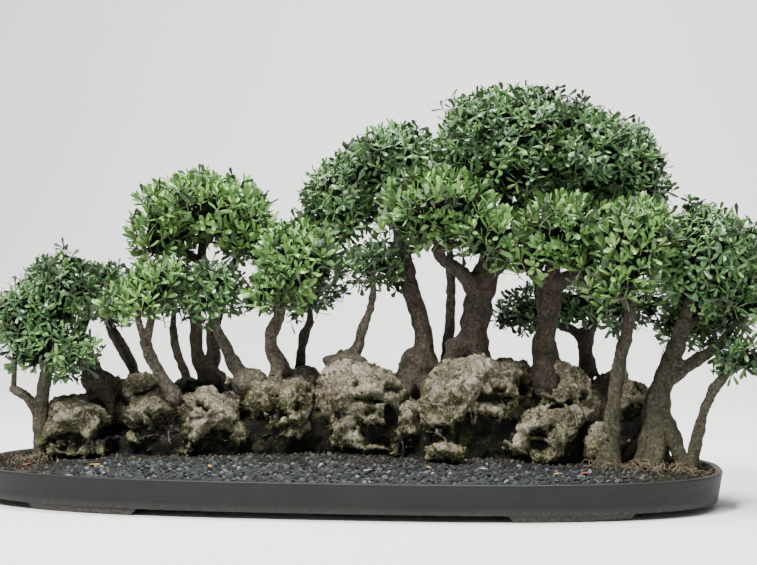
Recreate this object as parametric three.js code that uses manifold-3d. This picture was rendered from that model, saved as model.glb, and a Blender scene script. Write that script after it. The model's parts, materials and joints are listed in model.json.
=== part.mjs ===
// A group planting of small olive trees on a ridge of weathered limestone, in a long shallow stoneware
// tray. Millimetres, +Z up, +X along the tray, front towards -Y. The tray's feet stand on Z = 0.
//
// The tray is filled with soil under a layer of gravel, and the stones are bedded on the gravel, side by
// side. Most trees grip the stones with their roots; a few stand in the soil. Each tree is one solid of
// wood, and its crown is one solid of foliage: a small core with whorls of leaves standing out of it.
// Pieces that rest on each other keep a fine gap.
import * as THREE from "three";
import { mergeVertices } from "three/addons/utils/BufferGeometryUtils.js";
import Module from "manifold-3d";

const wasm = await Module();
wasm.setup();

// ---------------------------------------------------------------- driving dimensions

const GAP = 0.35; // between two pieces that rest on each other
const CUT_MARGIN = 0.1; // more than the gap, where wood passes through what is cut for it
const SEED = 11; // of the trees' unevenness
const WELD = 1e-3; // vertices closer than this are one

const TRAY = {
  halfLength: 500,
  halfWidth: 210,
  squareness: 2.7, // exponent of the plan's superellipse: 2 is an ellipse
  rimHeight: 46,
  footHeight: 8,
  wall: 9,
  floor: 8,
  taper: 6, // how far the wall leans in from the rim to the base
  sectors: 44,
};
const FOOT = { fromX: 230, toX: 382, depth: 24, setBack: 1.5, slant: 6, steps: 3 };
const DRAIN = { radius: 14, sides: 8, places: [-260, 0, 260] };

const SOIL_TOP = 38;
const GRAVEL = {
  belowRim: 3,
  moundHeight: 20,
  rimBend: 2.2, // how far out the mound stays high
  topBend: 0.8, // how flat its top is
  bump: 1.6,
  grain: 0.31,
  seed: 3,
  rings: 3,
};

// A leaf rises over its own triangle of the core, from the whorl's crown at one corner towards the
// opposite side. Its tip rises by lowest and up to spread more, and its two shoulders by a share of that.
const LEAF = { widestAt: 0.64, halfWidth: 0.25, reach: 0.97, lowest: 10, spread: 20, shoulderRise: 0.78 };
const WHORL = {
  ground: 46, // the side of a triangle of the core
  collar: 0.13, // where the grooves between a whorl's leaves begin, times that side
  crownHeight: 3.4,
  lowestFacing: -0.62, // the underside of a core below this is bare
};
const CORE = { inset: 17, bump: 0.12, bumpScale: 4.1 }; // a lump's core lies inset from its leafy outline
const LIMB = {
  sides: 3,
  socket: 7, // how far a limb's tip goes into the core that it bears
  shortest: 2,
  straightBelow: 30,
  sag: 0.08, // times its length
  overlap: 0.5, // times the radius of the stem's tip, as are the three widths
  widths: [0.8, 0.6, 0.42],
  thinnest: [3, 2.4], // in the middle and at the tip
};
const BRANCH_SIDES = 5;
const ROOT = { shortest: 1.6, spread: 0.8, drop: 0.5, flare: 1.25, valley: 0.9 }; // times the foot's radius
// A trunk's foot: how far it is carried down before the stone is cut out of it, and where, in times its
// radius, the roots reach their lowest and where the trunk begins.
const FOOT_OF_TREE = { depth: 34, narrowed: 0.6, rootsBelow: 0.9, trunkAbove: 0.15 };
const PEG = { share: 0.6, depth: 18, sides: 6 }; // the part of a trunk that stands in the soil

// ---------------------------------------------------------------- colours

const finish = (color, roughness) =>
  new THREE.MeshStandardMaterial({ color, roughness, metalness: 0 });
const STONEWARE = finish(0x4b4a45, 0.6);
const GRIT = finish(0x5c6264, 0.9);
const EARTH = finish(0x2e2a22, 1);
const LIMESTONE = finish(0x9a9184, 0.95);
const PALE_BARK = finish(0x8d8371, 0.9);
const DARK_BARK = finish(0x5d4f42, 0.9);
const BRIGHT_LEAF = finish(0x55803f, 0.5);
const DARK_LEAF = finish(0x33552f, 0.45);

// ---------------------------------------------------------------- stones: [x, y, z, rx, ry, rz]

const STONES = {
  stone_far_left: [-345, -20, 84, 56, 62, 52],
  stone_left: [-246, -4, 84, 60, 72, 54],
  stone_left_side: [-164, -12, 94, 52, 64, 52],
  stone_left_back: [-164, 84, 90, 50, 40, 58],
  stone_left_cap: [-284, 34, 142, 30, 28, 24],
  stone_far_left_back: [-330, 82, 90, 46, 40, 60],
  stone_centre_left: [-76, 8, 102, 54, 66, 66],
  stone_centre: [24, -10, 112, 58, 60, 66],
  stone_root_seat: [98, -14, 92, 34, 52, 52],
  stone_pebble: [147, -88, 66, 28, 24, 18],
  stone_high: [188, -8, 128, 72, 64, 70],
  stone_centre_back: [108, 76, 104, 56, 42, 70],
  stone_right: [276, -42, 90, 50, 46, 44],
  stone_right_high: [296, 22, 112, 52, 48, 68],
  stone_right_back: [345, 84, 98, 48, 42, 62],
  stone_stub: [394, 22, 94, 30, 34, 60],
  stone_mossy: [343, -38, 76, 28, 28, 30],
};
const STONE = {
  squareness: 3.4, // 2 is a ball, and a high number a block
  coarse: 0.2,
  coarseScale: 2.3,
  crease: 0.3,
  creaseScale: 4.3,
  creaseLevel: 0.3, // the unevenness at which a crease neither rises nor falls
  grow: 0.62, // how far a stone's outline is grown where others are cut clear of it
  fineBefore: 15, // a stone in front of this depth, and larger than the next number, is divided finer
  fineAbove: 55,
};

// ---------------------------------------------------------------- trees
// stems: routes of [x, y, z, radius]. roots: how many flare from the foot. crown: lumps [x, y, z, rx, ry,
// rz, stem] of the leafy outline, each borne by a limb from the tip of that stem. front: a second head of
// brighter leaves. A tree with inSoil stands in the soil, and any other on a stone.

const TREES = {
  far_left: {
    bark: PALE_BARK,
    leaf: DARK_LEAF,
    inSoil: true,
    roots: 4,
    stems: [
      [[-397, -48, 58, 17], [-404, -45, 92, 11.4], [-401, -44, 136, 9.6], [-393, -38, 190, 8]],
      [[-404, -46, 108, 8], [-424, -46, 133, 6.2], [-446, -44, 145, 5]],
    ],
    crown: [
      [-435, -40, 228, 57, 48, 54, 1],
      [-381, -25, 266, 63, 54, 60, 0],
      [-380, -56, 186, 56, 40, 40, 0],
    ],
  },
  left_stub: {
    bark: DARK_BARK,
    leaf: DARK_LEAF,
    roots: 4,
    stems: [[[-340, 15, 128, 19], [-351, 15, 158, 16], [-364, 15, 190, 12], [-374, 17, 220, 9]]],
    crown: [[-344, 26, 270, 46, 40, 44, 0]],
  },
  left_leaning: {
    bark: DARK_BARK,
    leaf: DARK_LEAF,
    roots: 3,
    stems: [[[-310, 80, 158, 9], [-325, 82, 188, 8], [-342, 84, 212, 7.5], [-350, 86, 232, 6.5]]],
    crown: [[-352, 92, 268, 46, 42, 38, 0]],
  },
  left_slender: {
    bark: PALE_BARK,
    leaf: BRIGHT_LEAF,
    roots: 3,
    stems: [[[-219, -52, 138, 11.5], [-236, -54, 163, 8.4], [-247, -56, 187, 7.8], [-257, -57, 212, 7.4]]],
    crown: [
      [-268, -64, 252, 46, 36, 34, 0],
      [-236, -50, 284, 32, 30, 30, 0],
    ],
  },
  left_thin: {
    bark: DARK_BARK,
    leaf: DARK_LEAF,
    roots: 3,
    stems: [[[-227, 52, 152, 9], [-236, 54, 176, 6.2], [-245, 57, 200, 6], [-250, 60, 226, 5.4]]],
    crown: [[-250, 70, 274, 44, 40, 42, 0]],
  },
  left_main: {
    bark: DARK_BARK,
    leaf: BRIGHT_LEAF,
    roots: 4,
    stems: [
      [[-196, 34, 154, 17], [-207, 33, 184, 9.4], [-208, 31, 246, 8.8], [-200, 28, 322, 8]],
      [[-190, 26, 158, 13], [-183, 25, 190, 10], [-182, 24, 226, 9.6], [-166, 22, 284, 7.6]],
    ],
    crown: [
      [-197, 30, 384, 88, 80, 54, 0],
      [-250, 18, 338, 50, 55, 50, 0],
      [-137, 24, 348, 46, 58, 49, 1],
    ],
  },
  left_low: {
    bark: PALE_BARK,
    leaf: DARK_LEAF,
    roots: 4,
    stems: [[[-128, -12, 150, 16], [-142, -12, 174, 10.6], [-155, -14, 197, 8.6], [-168, -16, 222, 7]]],
    crown: [[-172, -30, 268, 46, 42, 54, 0]],
  },
  middle_left: {
    bark: PALE_BARK,
    leaf: BRIGHT_LEAF,
    roots: 4,
    stems: [[[-87, 0, 172, 14], [-96, 0, 196, 9.6], [-96, 0, 218, 9.4], [-84, -2, 242, 8]]],
    crown: [
      [-59, -14, 312, 62, 56, 54, 0],
      [-84, -18, 268, 45, 41, 43, 0],
    ],
  },
  middle_left_dark: {
    bark: DARK_BARK,
    leaf: DARK_LEAF,
    roots: 3,
    stems: [[[-65, 48, 172, 9], [-63, 48, 197, 6.8], [-59, 48, 218, 6.6], [-50, 48, 236, 5.6]]],
    crown: [[-56, 54, 262, 42, 40, 40, 0]],
  },
  middle_small: {
    bark: PALE_BARK,
    leaf: DARK_LEAF,
    roots: 4,
    stems: [[[5, -6, 174, 18], [20, -6, 200, 7.8], [29, -6, 226, 6.2], [39, -7, 252, 6], [44, -8, 272, 5.2]]],
    crown: [
      [44, -12, 307, 43, 40, 37, 0],
    ],
  },
  old_left: {
    bark: DARK_BARK,
    leaf: DARK_LEAF,
    roots: 5,
    stems: [
      [
        [95, 4, 148, 23],
        [104, 5, 180, 19],
        [110, 6, 204, 12.4],
        [104, 8, 240, 11.4],
        [87, 20, 288, 12],
        [72, 42, 370, 8.5],
      ],
    ],
    crown: [
      [-4, 46, 396, 60, 64, 64, 0],
      [66, 58, 445, 80, 80, 62, 0],
    ],
  },
  middle_back: {
    bark: PALE_BARK,
    leaf: DARK_LEAF,
    roots: 3,
    stems: [[[135, 64, 184, 10], [140, 65, 236, 7], [142, 66, 276, 6.8], [140, 70, 316, 6]]],
    crown: [[132, 92, 360, 56, 48, 50, 0]],
  },
  main: {
    bark: DARK_BARK,
    leaf: DARK_LEAF,
    roots: 5,
    stems: [
      [[174, 18, 192, 28], [177, 17, 228, 19], [184, 16, 276, 20], [194, 20, 312, 16], [216, 32, 384, 10.5]],
      [[184, 10, 274, 15], [160, -2, 302, 9.5], [136, -12, 318, 8], [128, -18, 334, 6.6]],
      [[192, 14, 296, 13], [216, 4, 318, 9], [232, 8, 344, 7.4]],
    ],
    crown: [
      [230, 48, 464, 114, 98, 92, 0],
      [336, 42, 441, 94, 88, 80, 0],
      [392, 30, 404, 48, 56, 48, 0],
    ],
    front: [
      [134, -32, 378, 79, 54, 55, 1],
      [200, -50, 343, 55, 42, 42, 1],
    ],
  },
  old_right: {
    bark: DARK_BARK,
    leaf: BRIGHT_LEAF,
    roots: 5,
    stems: [
      [[273, 6, 168, 24], [269, 6, 201, 15.4], [273, 5, 235, 14], [276, 4, 264, 16], [280, 2, 292, 14]],
    ],
    crown: [
      [294, -26, 354, 74, 60, 57, 0],
      [250, -34, 306, 45, 38, 35, 0],
      [332, -32, 298, 46, 42, 42, 0],
    ],
  },
  right_back: {
    bark: DARK_BARK,
    leaf: DARK_LEAF,
    roots: 4,
    stems: [
      [[329, 82, 170, 12.6], [326, 82, 198, 11], [331, 84, 226, 9.6]],
      [[328, 82, 206, 8.6], [306, 88, 222, 6.4], [288, 92, 228, 5]],
    ],
    crown: [
      [352, 92, 256, 70, 48, 47, 0],
      [264, 96, 240, 66, 44, 41, 1],
    ],
  },
  right_leaning: {
    bark: PALE_BARK,
    leaf: BRIGHT_LEAF,
    inSoil: true,
    roots: 4,
    stems: [
      [
        [352, -62, 56, 18],
        [356, -46, 96, 11.5],
        [362, -42, 148, 9.2],
        [372, -42, 206, 8.5],
        [383, -42, 258, 7.2],
      ],
    ],
    crown: [
      [388, -42, 334, 64, 56, 62, 0],
      [364, -60, 274, 40, 34, 32, 0],
    ],
  },
  right_main: {
    bark: PALE_BARK,
    leaf: DARK_LEAF,
    inSoil: true,
    roots: 5,
    stems: [
      [
        [421, -18, 62, 34],
        [416, -15, 108, 20],
        [418, -14, 144, 15.2],
        [440, -10, 198, 12],
        [453, -8, 240, 10],
      ],
      [[424, -14, 158, 12], [446, -14, 172, 9.6], [472, -14, 190, 8], [498, -12, 208, 6.6]],
    ],
    crown: [
      [472, -6, 316, 80, 74, 76, 0],
      [534, -6, 262, 52, 54, 52, 1],
      [480, 44, 238, 62, 50, 60, 0],
    ],
  },
  right_low: {
    bark: PALE_BARK,
    leaf: DARK_LEAF,
    inSoil: true,
    roots: 3,
    stems: [
      [
        [460, -34, 56, 11],
        [468, -33, 96, 7.6],
        [477, -32, 128, 7],
        [491, -31, 154, 6.4],
        [508, -26, 174, 5],
      ],
    ],
    crown: [[530, -18, 182, 50, 46, 39, 0]],
  },
};

// ---------------------------------------------------------------- solids

// A geometry as a solid. A geometry whose faces point in is turned inside out first.
function solidOf(geometry) {
  const bare = geometry.index ? geometry.toNonIndexed() : geometry.clone();
  for (const name of ["normal", "uv"]) bare.deleteAttribute(name);
  const merged = mergeVertices(bare, WELD);
  const corners = merged.index.array;
  const kept = [];
  for (let i = 0; i < corners.length; i += 3) {
    const [a, b, c] = corners.subarray(i, i + 3);
    if (a !== b && b !== c && c !== a) kept.push([a, b, c]);
  }
  const build = (faces) =>
    new wasm.Manifold(
      new wasm.Mesh({
        numProp: 3,
        vertProperties: merged.attributes.position.array,
        triVerts: new Uint32Array(faces.flat()),
      }),
    );
  const made = build(kept);
  return made.volume() < 0 ? build(kept.map(([a, b, c]) => [a, c, b])) : made;
}

// The largest body of a solid: a cut can leave loose scraps, which are dropped.
function largest(solid) {
  const bodies = solid.decompose();
  return bodies.reduce((best, body) => (body.volume() > best.volume() ? body : best));
}

const union = (solids) => wasm.Manifold.union(solids);

function meshOf(name, solid, material) {
  const { numProp, vertProperties, triVerts, numVert } = largest(solid).getMesh();
  const positions = new Float32Array(numVert * 3);
  for (let i = 0; i < numVert; i++)
    positions.set(vertProperties.subarray(i * numProp, i * numProp + 3), i * 3);
  const geometry = new THREE.BufferGeometry();
  geometry.setAttribute("position", new THREE.BufferAttribute(positions, 3));
  geometry.setIndex(new THREE.BufferAttribute(triVerts, 1));
  geometry.computeVertexNormals();
  const mesh = new THREE.Mesh(geometry, material);
  mesh.name = name;
  return mesh;
}

// Moves each vertex of a geometry to place(vertex).
function reshape(geometry, place) {
  const points = geometry.attributes.position;
  const v = new THREE.Vector3();
  for (let i = 0; i < points.count; i++) {
    const moved = place(v.fromBufferAttribute(points, i).clone());
    points.setXYZ(i, moved.x, moved.y, moved.z);
  }
  return geometry;
}

// ---------------------------------------------------------------- seeded unevenness

// A smooth bumpiness between about -1 and 1, the same for the same place and seed.
function bumpiness(p, scale, seed) {
  const a = seed * 12.9898;
  const b = seed * 78.233;
  return (
    (Math.sin(scale * (p.x + 0.62 * p.y) + a) * Math.cos(scale * (0.83 * p.z - 0.47 * p.x) + b) +
      Math.sin(scale * (1.37 * p.y - 0.58 * p.z) + b) * Math.cos(scale * (0.71 * p.x + 0.9 * p.z) + a)) /
    1.4
  );
}

// A fixed number between 0 and 1 for each index and seed.
function draw(index, seed) {
  const s = Math.sin(index * 127.1 + seed * 311.7) * 43758.5453;
  return s - Math.floor(s);
}

// ---------------------------------------------------------------- tray, soil and gravel

const wallLean = (z) =>
  (TRAY.taper * (TRAY.rimHeight - z)) / (TRAY.rimHeight - TRAY.footHeight);

// How far a place is from the middle of the tray, from 0 to 1 at the inside of the rim.
function outwards(x, y) {
  const n = TRAY.squareness;
  const a = TRAY.halfLength - TRAY.wall;
  const b = TRAY.halfWidth - TRAY.wall;
  return Math.min(1, (Math.abs(x / a) ** n + Math.abs(y / b) ** n) ** (1 / n));
}

// The top of the gravel: a low mound, uneven with the grain.
const gravelTop = (x, y) =>
  TRAY.rimHeight -
  GRAVEL.belowRim +
  GRAVEL.moundHeight * (1 - outwards(x, y) ** GRAVEL.rimBend) ** GRAVEL.topBend +
  GRAVEL.bump * bumpiness(new THREE.Vector3(x, y, 0), GRAVEL.grain, GRAVEL.seed);

// Turns a profile round the tray's plan. Each point is [inset from the rim, height], and a height may be a
// function of x and y. The full half width as inset is the middle line.
function traySwept(profile) {
  const round = new THREE.LatheGeometry(
    profile.map((_, i) => new THREE.Vector2(1, i)),
    TRAY.sectors,
  );
  return reshape(round, (v) => {
    const [inset, height] = profile[Math.round(v.y)];
    const power = 2 / TRAY.squareness;
    const part = (c) => Math.sign(c) * Math.abs(c) ** power;
    const x = (TRAY.halfLength - inset) * part(v.x);
    const y = (TRAY.halfWidth - inset) * part(v.z);
    return new THREE.Vector3(x, y, typeof height === "function" ? height(x, y) : height);
  });
}

const MIDDLE = TRAY.halfWidth;
const FLOOR_TOP = TRAY.footHeight + TRAY.floor;

function footSolid(sideX, sideY) {
  const n = TRAY.squareness;
  const a = TRAY.halfLength - TRAY.taper - FOOT.setBack;
  const b = TRAY.halfWidth - TRAY.taper - FOOT.setBack;
  const edge = (x) => b * (1 - (x / a) ** n) ** (1 / n);
  const outline = new THREE.Shape();
  const at = (i) => FOOT.fromX + ((FOOT.toX - FOOT.fromX) * i) / FOOT.steps;
  outline.moveTo(at(0), edge(at(0)));
  for (let i = 1; i <= FOOT.steps; i++) outline.lineTo(at(i), edge(at(i)));
  for (let i = FOOT.steps; i >= 0; i--) outline.lineTo(at(i), edge(at(i)) - FOOT.depth);
  const rootDepth = TRAY.floor / 2;
  const block = new THREE.ExtrudeGeometry(outline, {
    depth: TRAY.footHeight + rootDepth,
    bevelEnabled: false,
    curveSegments: 1,
  });
  const middle = (FOOT.fromX + FOOT.toX) / 2;
  reshape(block, (v) => {
    const pulled = v.z < 1 ? v.x - Math.sign(v.x - middle) * FOOT.slant : v.x;
    return new THREE.Vector3(sideX * pulled, sideY * v.y, v.z);
  });
  return solidOf(block);
}

function traySolid() {
  const shell = solidOf(
    traySwept([
      [MIDDLE, TRAY.footHeight],
      [TRAY.taper, TRAY.footHeight],
      [0, TRAY.rimHeight],
      [TRAY.wall, TRAY.rimHeight],
      [TRAY.wall + wallLean(FLOOR_TOP), FLOOR_TOP],
      [MIDDLE, FLOOR_TOP],
    ]),
  );
  const feet = [-1, 1].flatMap((sx) => [-1, 1].map((sy) => footSolid(sx, sy)));
  const drains = DRAIN.places.map((x) => {
    const drill = new THREE.CylinderGeometry(DRAIN.radius, DRAIN.radius, 4 * TRAY.floor, DRAIN.sides);
    drill.rotateX(Math.PI / 2).translate(x, 0, FLOOR_TOP);
    return solidOf(drill);
  });
  return union([shell, ...feet]).subtract(union(drains));
}

const besideWall = (z) => TRAY.wall + wallLean(z) + GAP;

function soilSolid() {
  const base = FLOOR_TOP + GAP;
  return solidOf(
    traySwept([
      [MIDDLE, base],
      [besideWall(base), base],
      [besideWall(SOIL_TOP), SOIL_TOP],
      [MIDDLE, SOIL_TOP],
    ]),
  );
}

// The rings of the gravel's surface, from the wall to the middle line, raised by a fine gap where that is
// wanted.
function gravelRings(raised = 0) {
  const edge = besideWall(TRAY.rimHeight - GRAVEL.belowRim);
  return Array.from({ length: GRAVEL.rings + 1 }, (_, i) => [
    edge + ((MIDDLE - edge) * i) / GRAVEL.rings,
    (x, y) => gravelTop(x, y) + raised,
  ]);
}

function gravelSolid() {
  const underside = SOIL_TOP + GAP;
  return solidOf(traySwept([[MIDDLE, underside], [besideWall(underside), underside], ...gravelRings()]));
}

// Everything under the top of the gravel: cut from what stands on it.
const underGravel = () => solidOf(traySwept([[MIDDLE, 0], [0, 0], [0, TRAY.rimHeight], ...gravelRings(GAP)]));

// ---------------------------------------------------------------- stones

function lumpSolid([x, y, z, rx, ry, rz], seed, grow, detail) {
  const ball = new THREE.IcosahedronGeometry(1, detail);
  reshape(ball, (v) => {
    const n = STONE.squareness;
    const square = (Math.abs(v.x) ** n + Math.abs(v.y) ** n + Math.abs(v.z) ** n) ** (-1 / n);
    const crease = STONE.creaseLevel - Math.abs(bumpiness(v, STONE.creaseScale, seed + 0.5));
    const swell = 1 + STONE.coarse * bumpiness(v, STONE.coarseScale, seed) + STONE.crease * crease;
    const p = v.multiply(new THREE.Vector3(rx, ry, rz)).multiplyScalar(square * swell);
    return p.add(p.clone().setLength(grow)).add(new THREE.Vector3(x, y, z));
  });
  return solidOf(ball);
}

// Large stones at the front of the ridge are divided finer than small ones and those behind.
function stoneSolid(lump, seed, grow = 0) {
  const [, y, , ...radii] = lump;
  const isFine = y < STONE.fineBefore && Math.max(...radii) > STONE.fineAbove;
  return lumpSolid(lump, seed, grow, isFine ? 2 : 1);
}

// ---------------------------------------------------------------- wood

// A limb along a route of [x, y, z, radius], with flat ends, made wider and longer by grow. Each side of
// each ring can reach further out, and lie lower, than the radius says.
function limbSolid(route, sides, grow = 0, flare = () => ({ reach: 1, drop: 0 })) {
  const last = route.length - 1;
  const centres = route.map(([x, y, z]) => new THREE.Vector3(x, y, z));
  const rod = new THREE.CylinderGeometry(1, 1, 1, sides, last);
  reshape(rod, (v) => {
    const i = Math.round((v.y + 0.5) * last);
    const side = Math.round((Math.atan2(v.x, v.z) / (2 * Math.PI)) * sides);
    const along = centres[Math.min(i + 1, last)].clone().sub(centres[Math.max(i - 1, 0)]).normalize();
    const across = new THREE.Vector3(0, 1, 0).cross(along).normalize();
    const aside = along.clone().cross(across);
    const { reach, drop } = flare(i, side);
    const radius = route[i][3] * reach + grow;
    const end = i === 0 ? -grow : i === last ? grow : 0;
    return centres[i]
      .clone()
      .addScaledVector(across, v.x * radius)
      .addScaledVector(aside, v.z * radius)
      .addScaledVector(along, end - drop * route[i][3] * Math.hypot(v.x, v.z));
  });
  return solidOf(rod);
}

// Limbs from the tips of the stems into the lumps of the crown. A lump's seventh value is the stem that
// bears it.
function limbRoutes(tree) {
  return [...tree.crown, ...(tree.front ?? [])].flatMap(([x, y, z, rx, ry, rz, stem]) => {
    const tip = tree.stems[stem].at(-1);
    const from = new THREE.Vector3(...tip);
    const centre = new THREE.Vector3(x, y, z);
    const inner = new THREE.Vector3(rx, ry, rz).subScalar(CORE.inset);
    const depth = centre.distanceTo(from) * (1 - 1 / from.clone().sub(centre).divide(inner).length());
    const reach = depth + LIMB.socket;
    if (reach < LIMB.socket + LIMB.shortest) return [];
    const to = from.clone().lerp(centre, reach / centre.distanceTo(from));
    const middle = from.clone().lerp(to, 0.5).add(new THREE.Vector3(0, 0, -LIMB.sag * reach));
    const start = from.clone().addScaledVector(to.clone().sub(from).normalize(), -LIMB.overlap * tip[3]);
    const [wide, narrower, narrow] = LIMB.widths.map((share) => share * tip[3]);
    const route = [
      [...start.toArray(), wide],
      [...middle.toArray(), Math.max(LIMB.thinnest[0], narrower)],
      [...to.toArray(), Math.max(LIMB.thinnest[1], narrow)],
    ];
    return [reach < LIMB.straightBelow ? [route[0], route[2]] : route];
  });
}

// A trunk with its roots: every second side of the foot runs out and down as a root, the sides between
// stay close.
function trunkSolid(route, roots, seed, grow) {
  const [x, y, z, r] = route[0];
  const foot = [
    [x, y, z - FOOT_OF_TREE.depth, FOOT_OF_TREE.narrowed * r],
    [x, y, z - FOOT_OF_TREE.rootsBelow * r, r],
    [x, y, z + FOOT_OF_TREE.trunkAbove * r, r],
  ];
  const sides = 2 * roots;
  const flare = (ring, side) => {
    const isRoot = Math.abs(side) % 2 === 1;
    if (ring === 1 && isRoot) {
      const reach = ROOT.shortest + ROOT.spread * draw((side + sides) % sides, seed);
      return { reach, drop: ROOT.drop };
    }
    if (ring === 2 && isRoot) return { reach: ROOT.flare, drop: 0 };
    return { reach: ring === 1 || ring === 2 ? ROOT.valley : 1, drop: 0 };
  };
  return limbSolid([...foot, ...route.slice(1)], sides, grow, flare);
}

function woodSolid(tree, seed, grow = 0) {
  const [trunk, ...branches] = tree.stems;
  return union([
    trunkSolid(trunk, tree.roots, seed, grow),
    ...branches.map((route) => limbSolid(route, BRANCH_SIDES, grow)),
    ...limbRoutes(tree).map((route) => limbSolid(route, LIMB.sides, grow)),
  ]);
}

// The plain round stretch of a trunk that stands in the gravel and the soil.
function pegSolid(tree, grow = 0) {
  const [x, y, z, r] = tree.stems[0][0];
  const radius = PEG.share * r + grow;
  const bottom = SOIL_TOP - PEG.depth - grow;
  const peg = new THREE.CylinderGeometry(radius, radius, z - bottom, PEG.sides, 1);
  peg.rotateX(Math.PI / 2).translate(x, y, (z + bottom) / 2);
  return solidOf(peg);
}

// ---------------------------------------------------------------- foliage

// The surface of a lump's core, as a function from a direction, and a height over the surface, to a place.
function surfaceOf([x, y, z, ...outer], seed) {
  const radii = new THREE.Vector3(...outer.slice(0, 3)).subScalar(CORE.inset);
  return (direction, height = 0) => {
    const unit = direction.clone().normalize();
    const swell = 1 + CORE.bump * bumpiness(unit, CORE.bumpScale, seed);
    const p = unit.multiply(radii).multiplyScalar(swell);
    return p.setLength(p.length() + height).add(new THREE.Vector3(x, y, z));
  };
}

// The triangles of a core: those of a divided octahedron, turned its own way for each lump. Every third
// corner of the lattice bears a whorl, and each triangle begins at that corner, so it is the ground of
// just one leaf.
function latticeOf([x, , , ...outer]) {
  const mean = outer.slice(0, 3).reduce((sum, r) => sum + r, 0) / 3 - CORE.inset;
  const parts = Math.max(2, Math.round(((Math.PI / 2) * mean) / WHORL.ground));
  const points = new THREE.OctahedronGeometry(1, parts - 1).attributes.position;
  const bearsWhorl = (v) => {
    const whole = Math.abs(v.x) + Math.abs(v.y) + Math.abs(v.z);
    const part = (c) => Math.round((Math.abs(c) / whole) * parts);
    return (part(v.y) + 2 * part(v.z)) % 3 === 0;
  };
  const turn = new THREE.Euler(draw(1, x) * Math.PI, draw(2, x) * Math.PI, 0);
  return Array.from({ length: points.count / 3 }, (_, i) => {
    const corners = [0, 1, 2].map((k) => new THREE.Vector3().fromBufferAttribute(points, 3 * i + k));
    const first = corners.findIndex(bearsWhorl);
    return [0, 1, 2].map((k) => corners[(first + k) % 3].clone().applyEuler(turn));
  });
}

// One leaf over its triangle: from the crown of the whorl at the first corner to a tip over the opposite
// side. It stays over its own ground, so no leaf crosses its neighbours.
function leafOver([c, a, b], surface, rise) {
  const far = a.clone().lerp(b, 0.5);
  const across = a.clone().sub(b);
  const at = (along, aside, height) =>
    surface(c.clone().lerp(far, along).addScaledVector(across, aside), height);
  const { widestAt, halfWidth, reach, shoulderRise } = LEAF;
  return {
    ground: [surface(a), surface(b)],
    crown: surface(c, WHORL.crownHeight),
    valleys: [surface(c.clone().lerp(a, WHORL.collar)), surface(c.clone().lerp(b, WHORL.collar))],
    shoulders: [
      at(widestAt, halfWidth, shoulderRise * rise),
      at(widestAt, -halfWidth, shoulderRise * rise),
    ],
    tip: at(reach, 0, rise),
  };
}

// The top is creased from shoulder to shoulder and the underside runs from the grooves to the tip, so over
// the core's curve the top stays above the underside.
function bladeFaces({ crown, valleys: [va, vb], shoulders: [sa, sb], tip }) {
  return [
    [crown, va, sa],
    [crown, sa, sb],
    [crown, sb, vb],
    [sa, tip, sb],
    [va, vb, tip],
    [vb, sb, tip],
    [tip, sa, va],
  ];
}

function geometryOf(triangles) {
  return new THREE.BufferGeometry().setFromPoints(triangles.flat());
}

// Whether a place lies inside another lump of the same head.
const isCovered = (place, lump, lumps) =>
  lumps.some((other) => {
    const d = place.clone().sub(new THREE.Vector3(...other.slice(0, 3)));
    const radii = new THREE.Vector3(...other.slice(3, 6)).subScalar(CORE.inset);
    return other !== lump && d.divide(radii).length() < 1;
  });

// A lump with its leaves. A leaf that would touch anything in blocked is left out.
function leafyLump(lump, lumps, seed, blocked) {
  const surface = surfaceOf(lump, seed);
  const triangles = [];
  const blades = [];
  latticeOf(lump).forEach((face, i) => {
    const [c, a, b] = face;
    const isBare = c.z < WHORL.lowestFacing || isCovered(surface(c), lump, lumps);
    if (isBare) {
      triangles.push([surface(c), surface(a), surface(b)]);
      return;
    }
    const leaf = leafOver(face, surface, LEAF.lowest + LEAF.spread * draw(i, seed));
    const { ground, crown, valleys, tip } = leaf;
    triangles.push([valleys[0], ground[0], ground[1]], [valleys[0], ground[1], valleys[1]]);
    const faces = bladeFaces(leaf);
    const blade = solidOf(geometryOf([...faces, [crown, valleys[1], valleys[0]]]));
    if (isCovered(tip, lump, lumps) || !blocked.intersect(blade).isEmpty()) {
      triangles.push([crown, valleys[0], valleys[1]]);
      return;
    }
    triangles.push(...faces);
    blades.push(blade);
  });
  return { solid: solidOf(geometryOf(triangles)), blades };
}

function coreSolid(lumps, seed, grow = 0) {
  return union(
    lumps.map((lump, i) => {
      const surface = surfaceOf(lump, seed + i);
      return solidOf(geometryOf(latticeOf(lump).map((face) => face.map((v) => surface(v, grow)))));
    }),
  );
}

// ---------------------------------------------------------------- the planting

const bonsai = new THREE.Group();
const add = (name, solid, material) => bonsai.add(meshOf(name, solid, material));

// Each stone is cut clear of the gravel under it and of the stones placed before it.
const bed = underGravel();
const grownStones = [];
Object.entries(STONES).forEach(([name, lump], i) => {
  const whole = stoneSolid(lump, i + 1).subtract(bed);
  add(name, grownStones.length ? whole.subtract(union(grownStones)) : whole, LIMESTONE);
  grownStones.push(stoneSolid(lump, i + 1, STONE.grow));
});
const allStones = union(grownStones);

// Each tree's foot is cut to the stone that it grips, and kept clear of the trees placed before it.
const trees = Object.entries(TREES).map(([name, tree], i) => ({ name, tree, seed: SEED + i }));
const grownWood = [];
for (const { name, tree, seed } of trees) {
  const clear = union([allStones, ...grownWood]);
  const whole = woodSolid(tree, seed);
  const seated = tree.inSoil ? whole.subtract(bed).add(pegSolid(tree)) : whole;
  add(`tree_${name}`, seated.subtract(clear), tree.bark);
  grownWood.push(woodSolid(tree, seed, GAP + CUT_MARGIN));
}
const allWood = union(grownWood);
const pegHoles = union(trees.filter(({ tree }) => tree.inSoil).map(({ tree }) => pegSolid(tree, GAP)));

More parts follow.
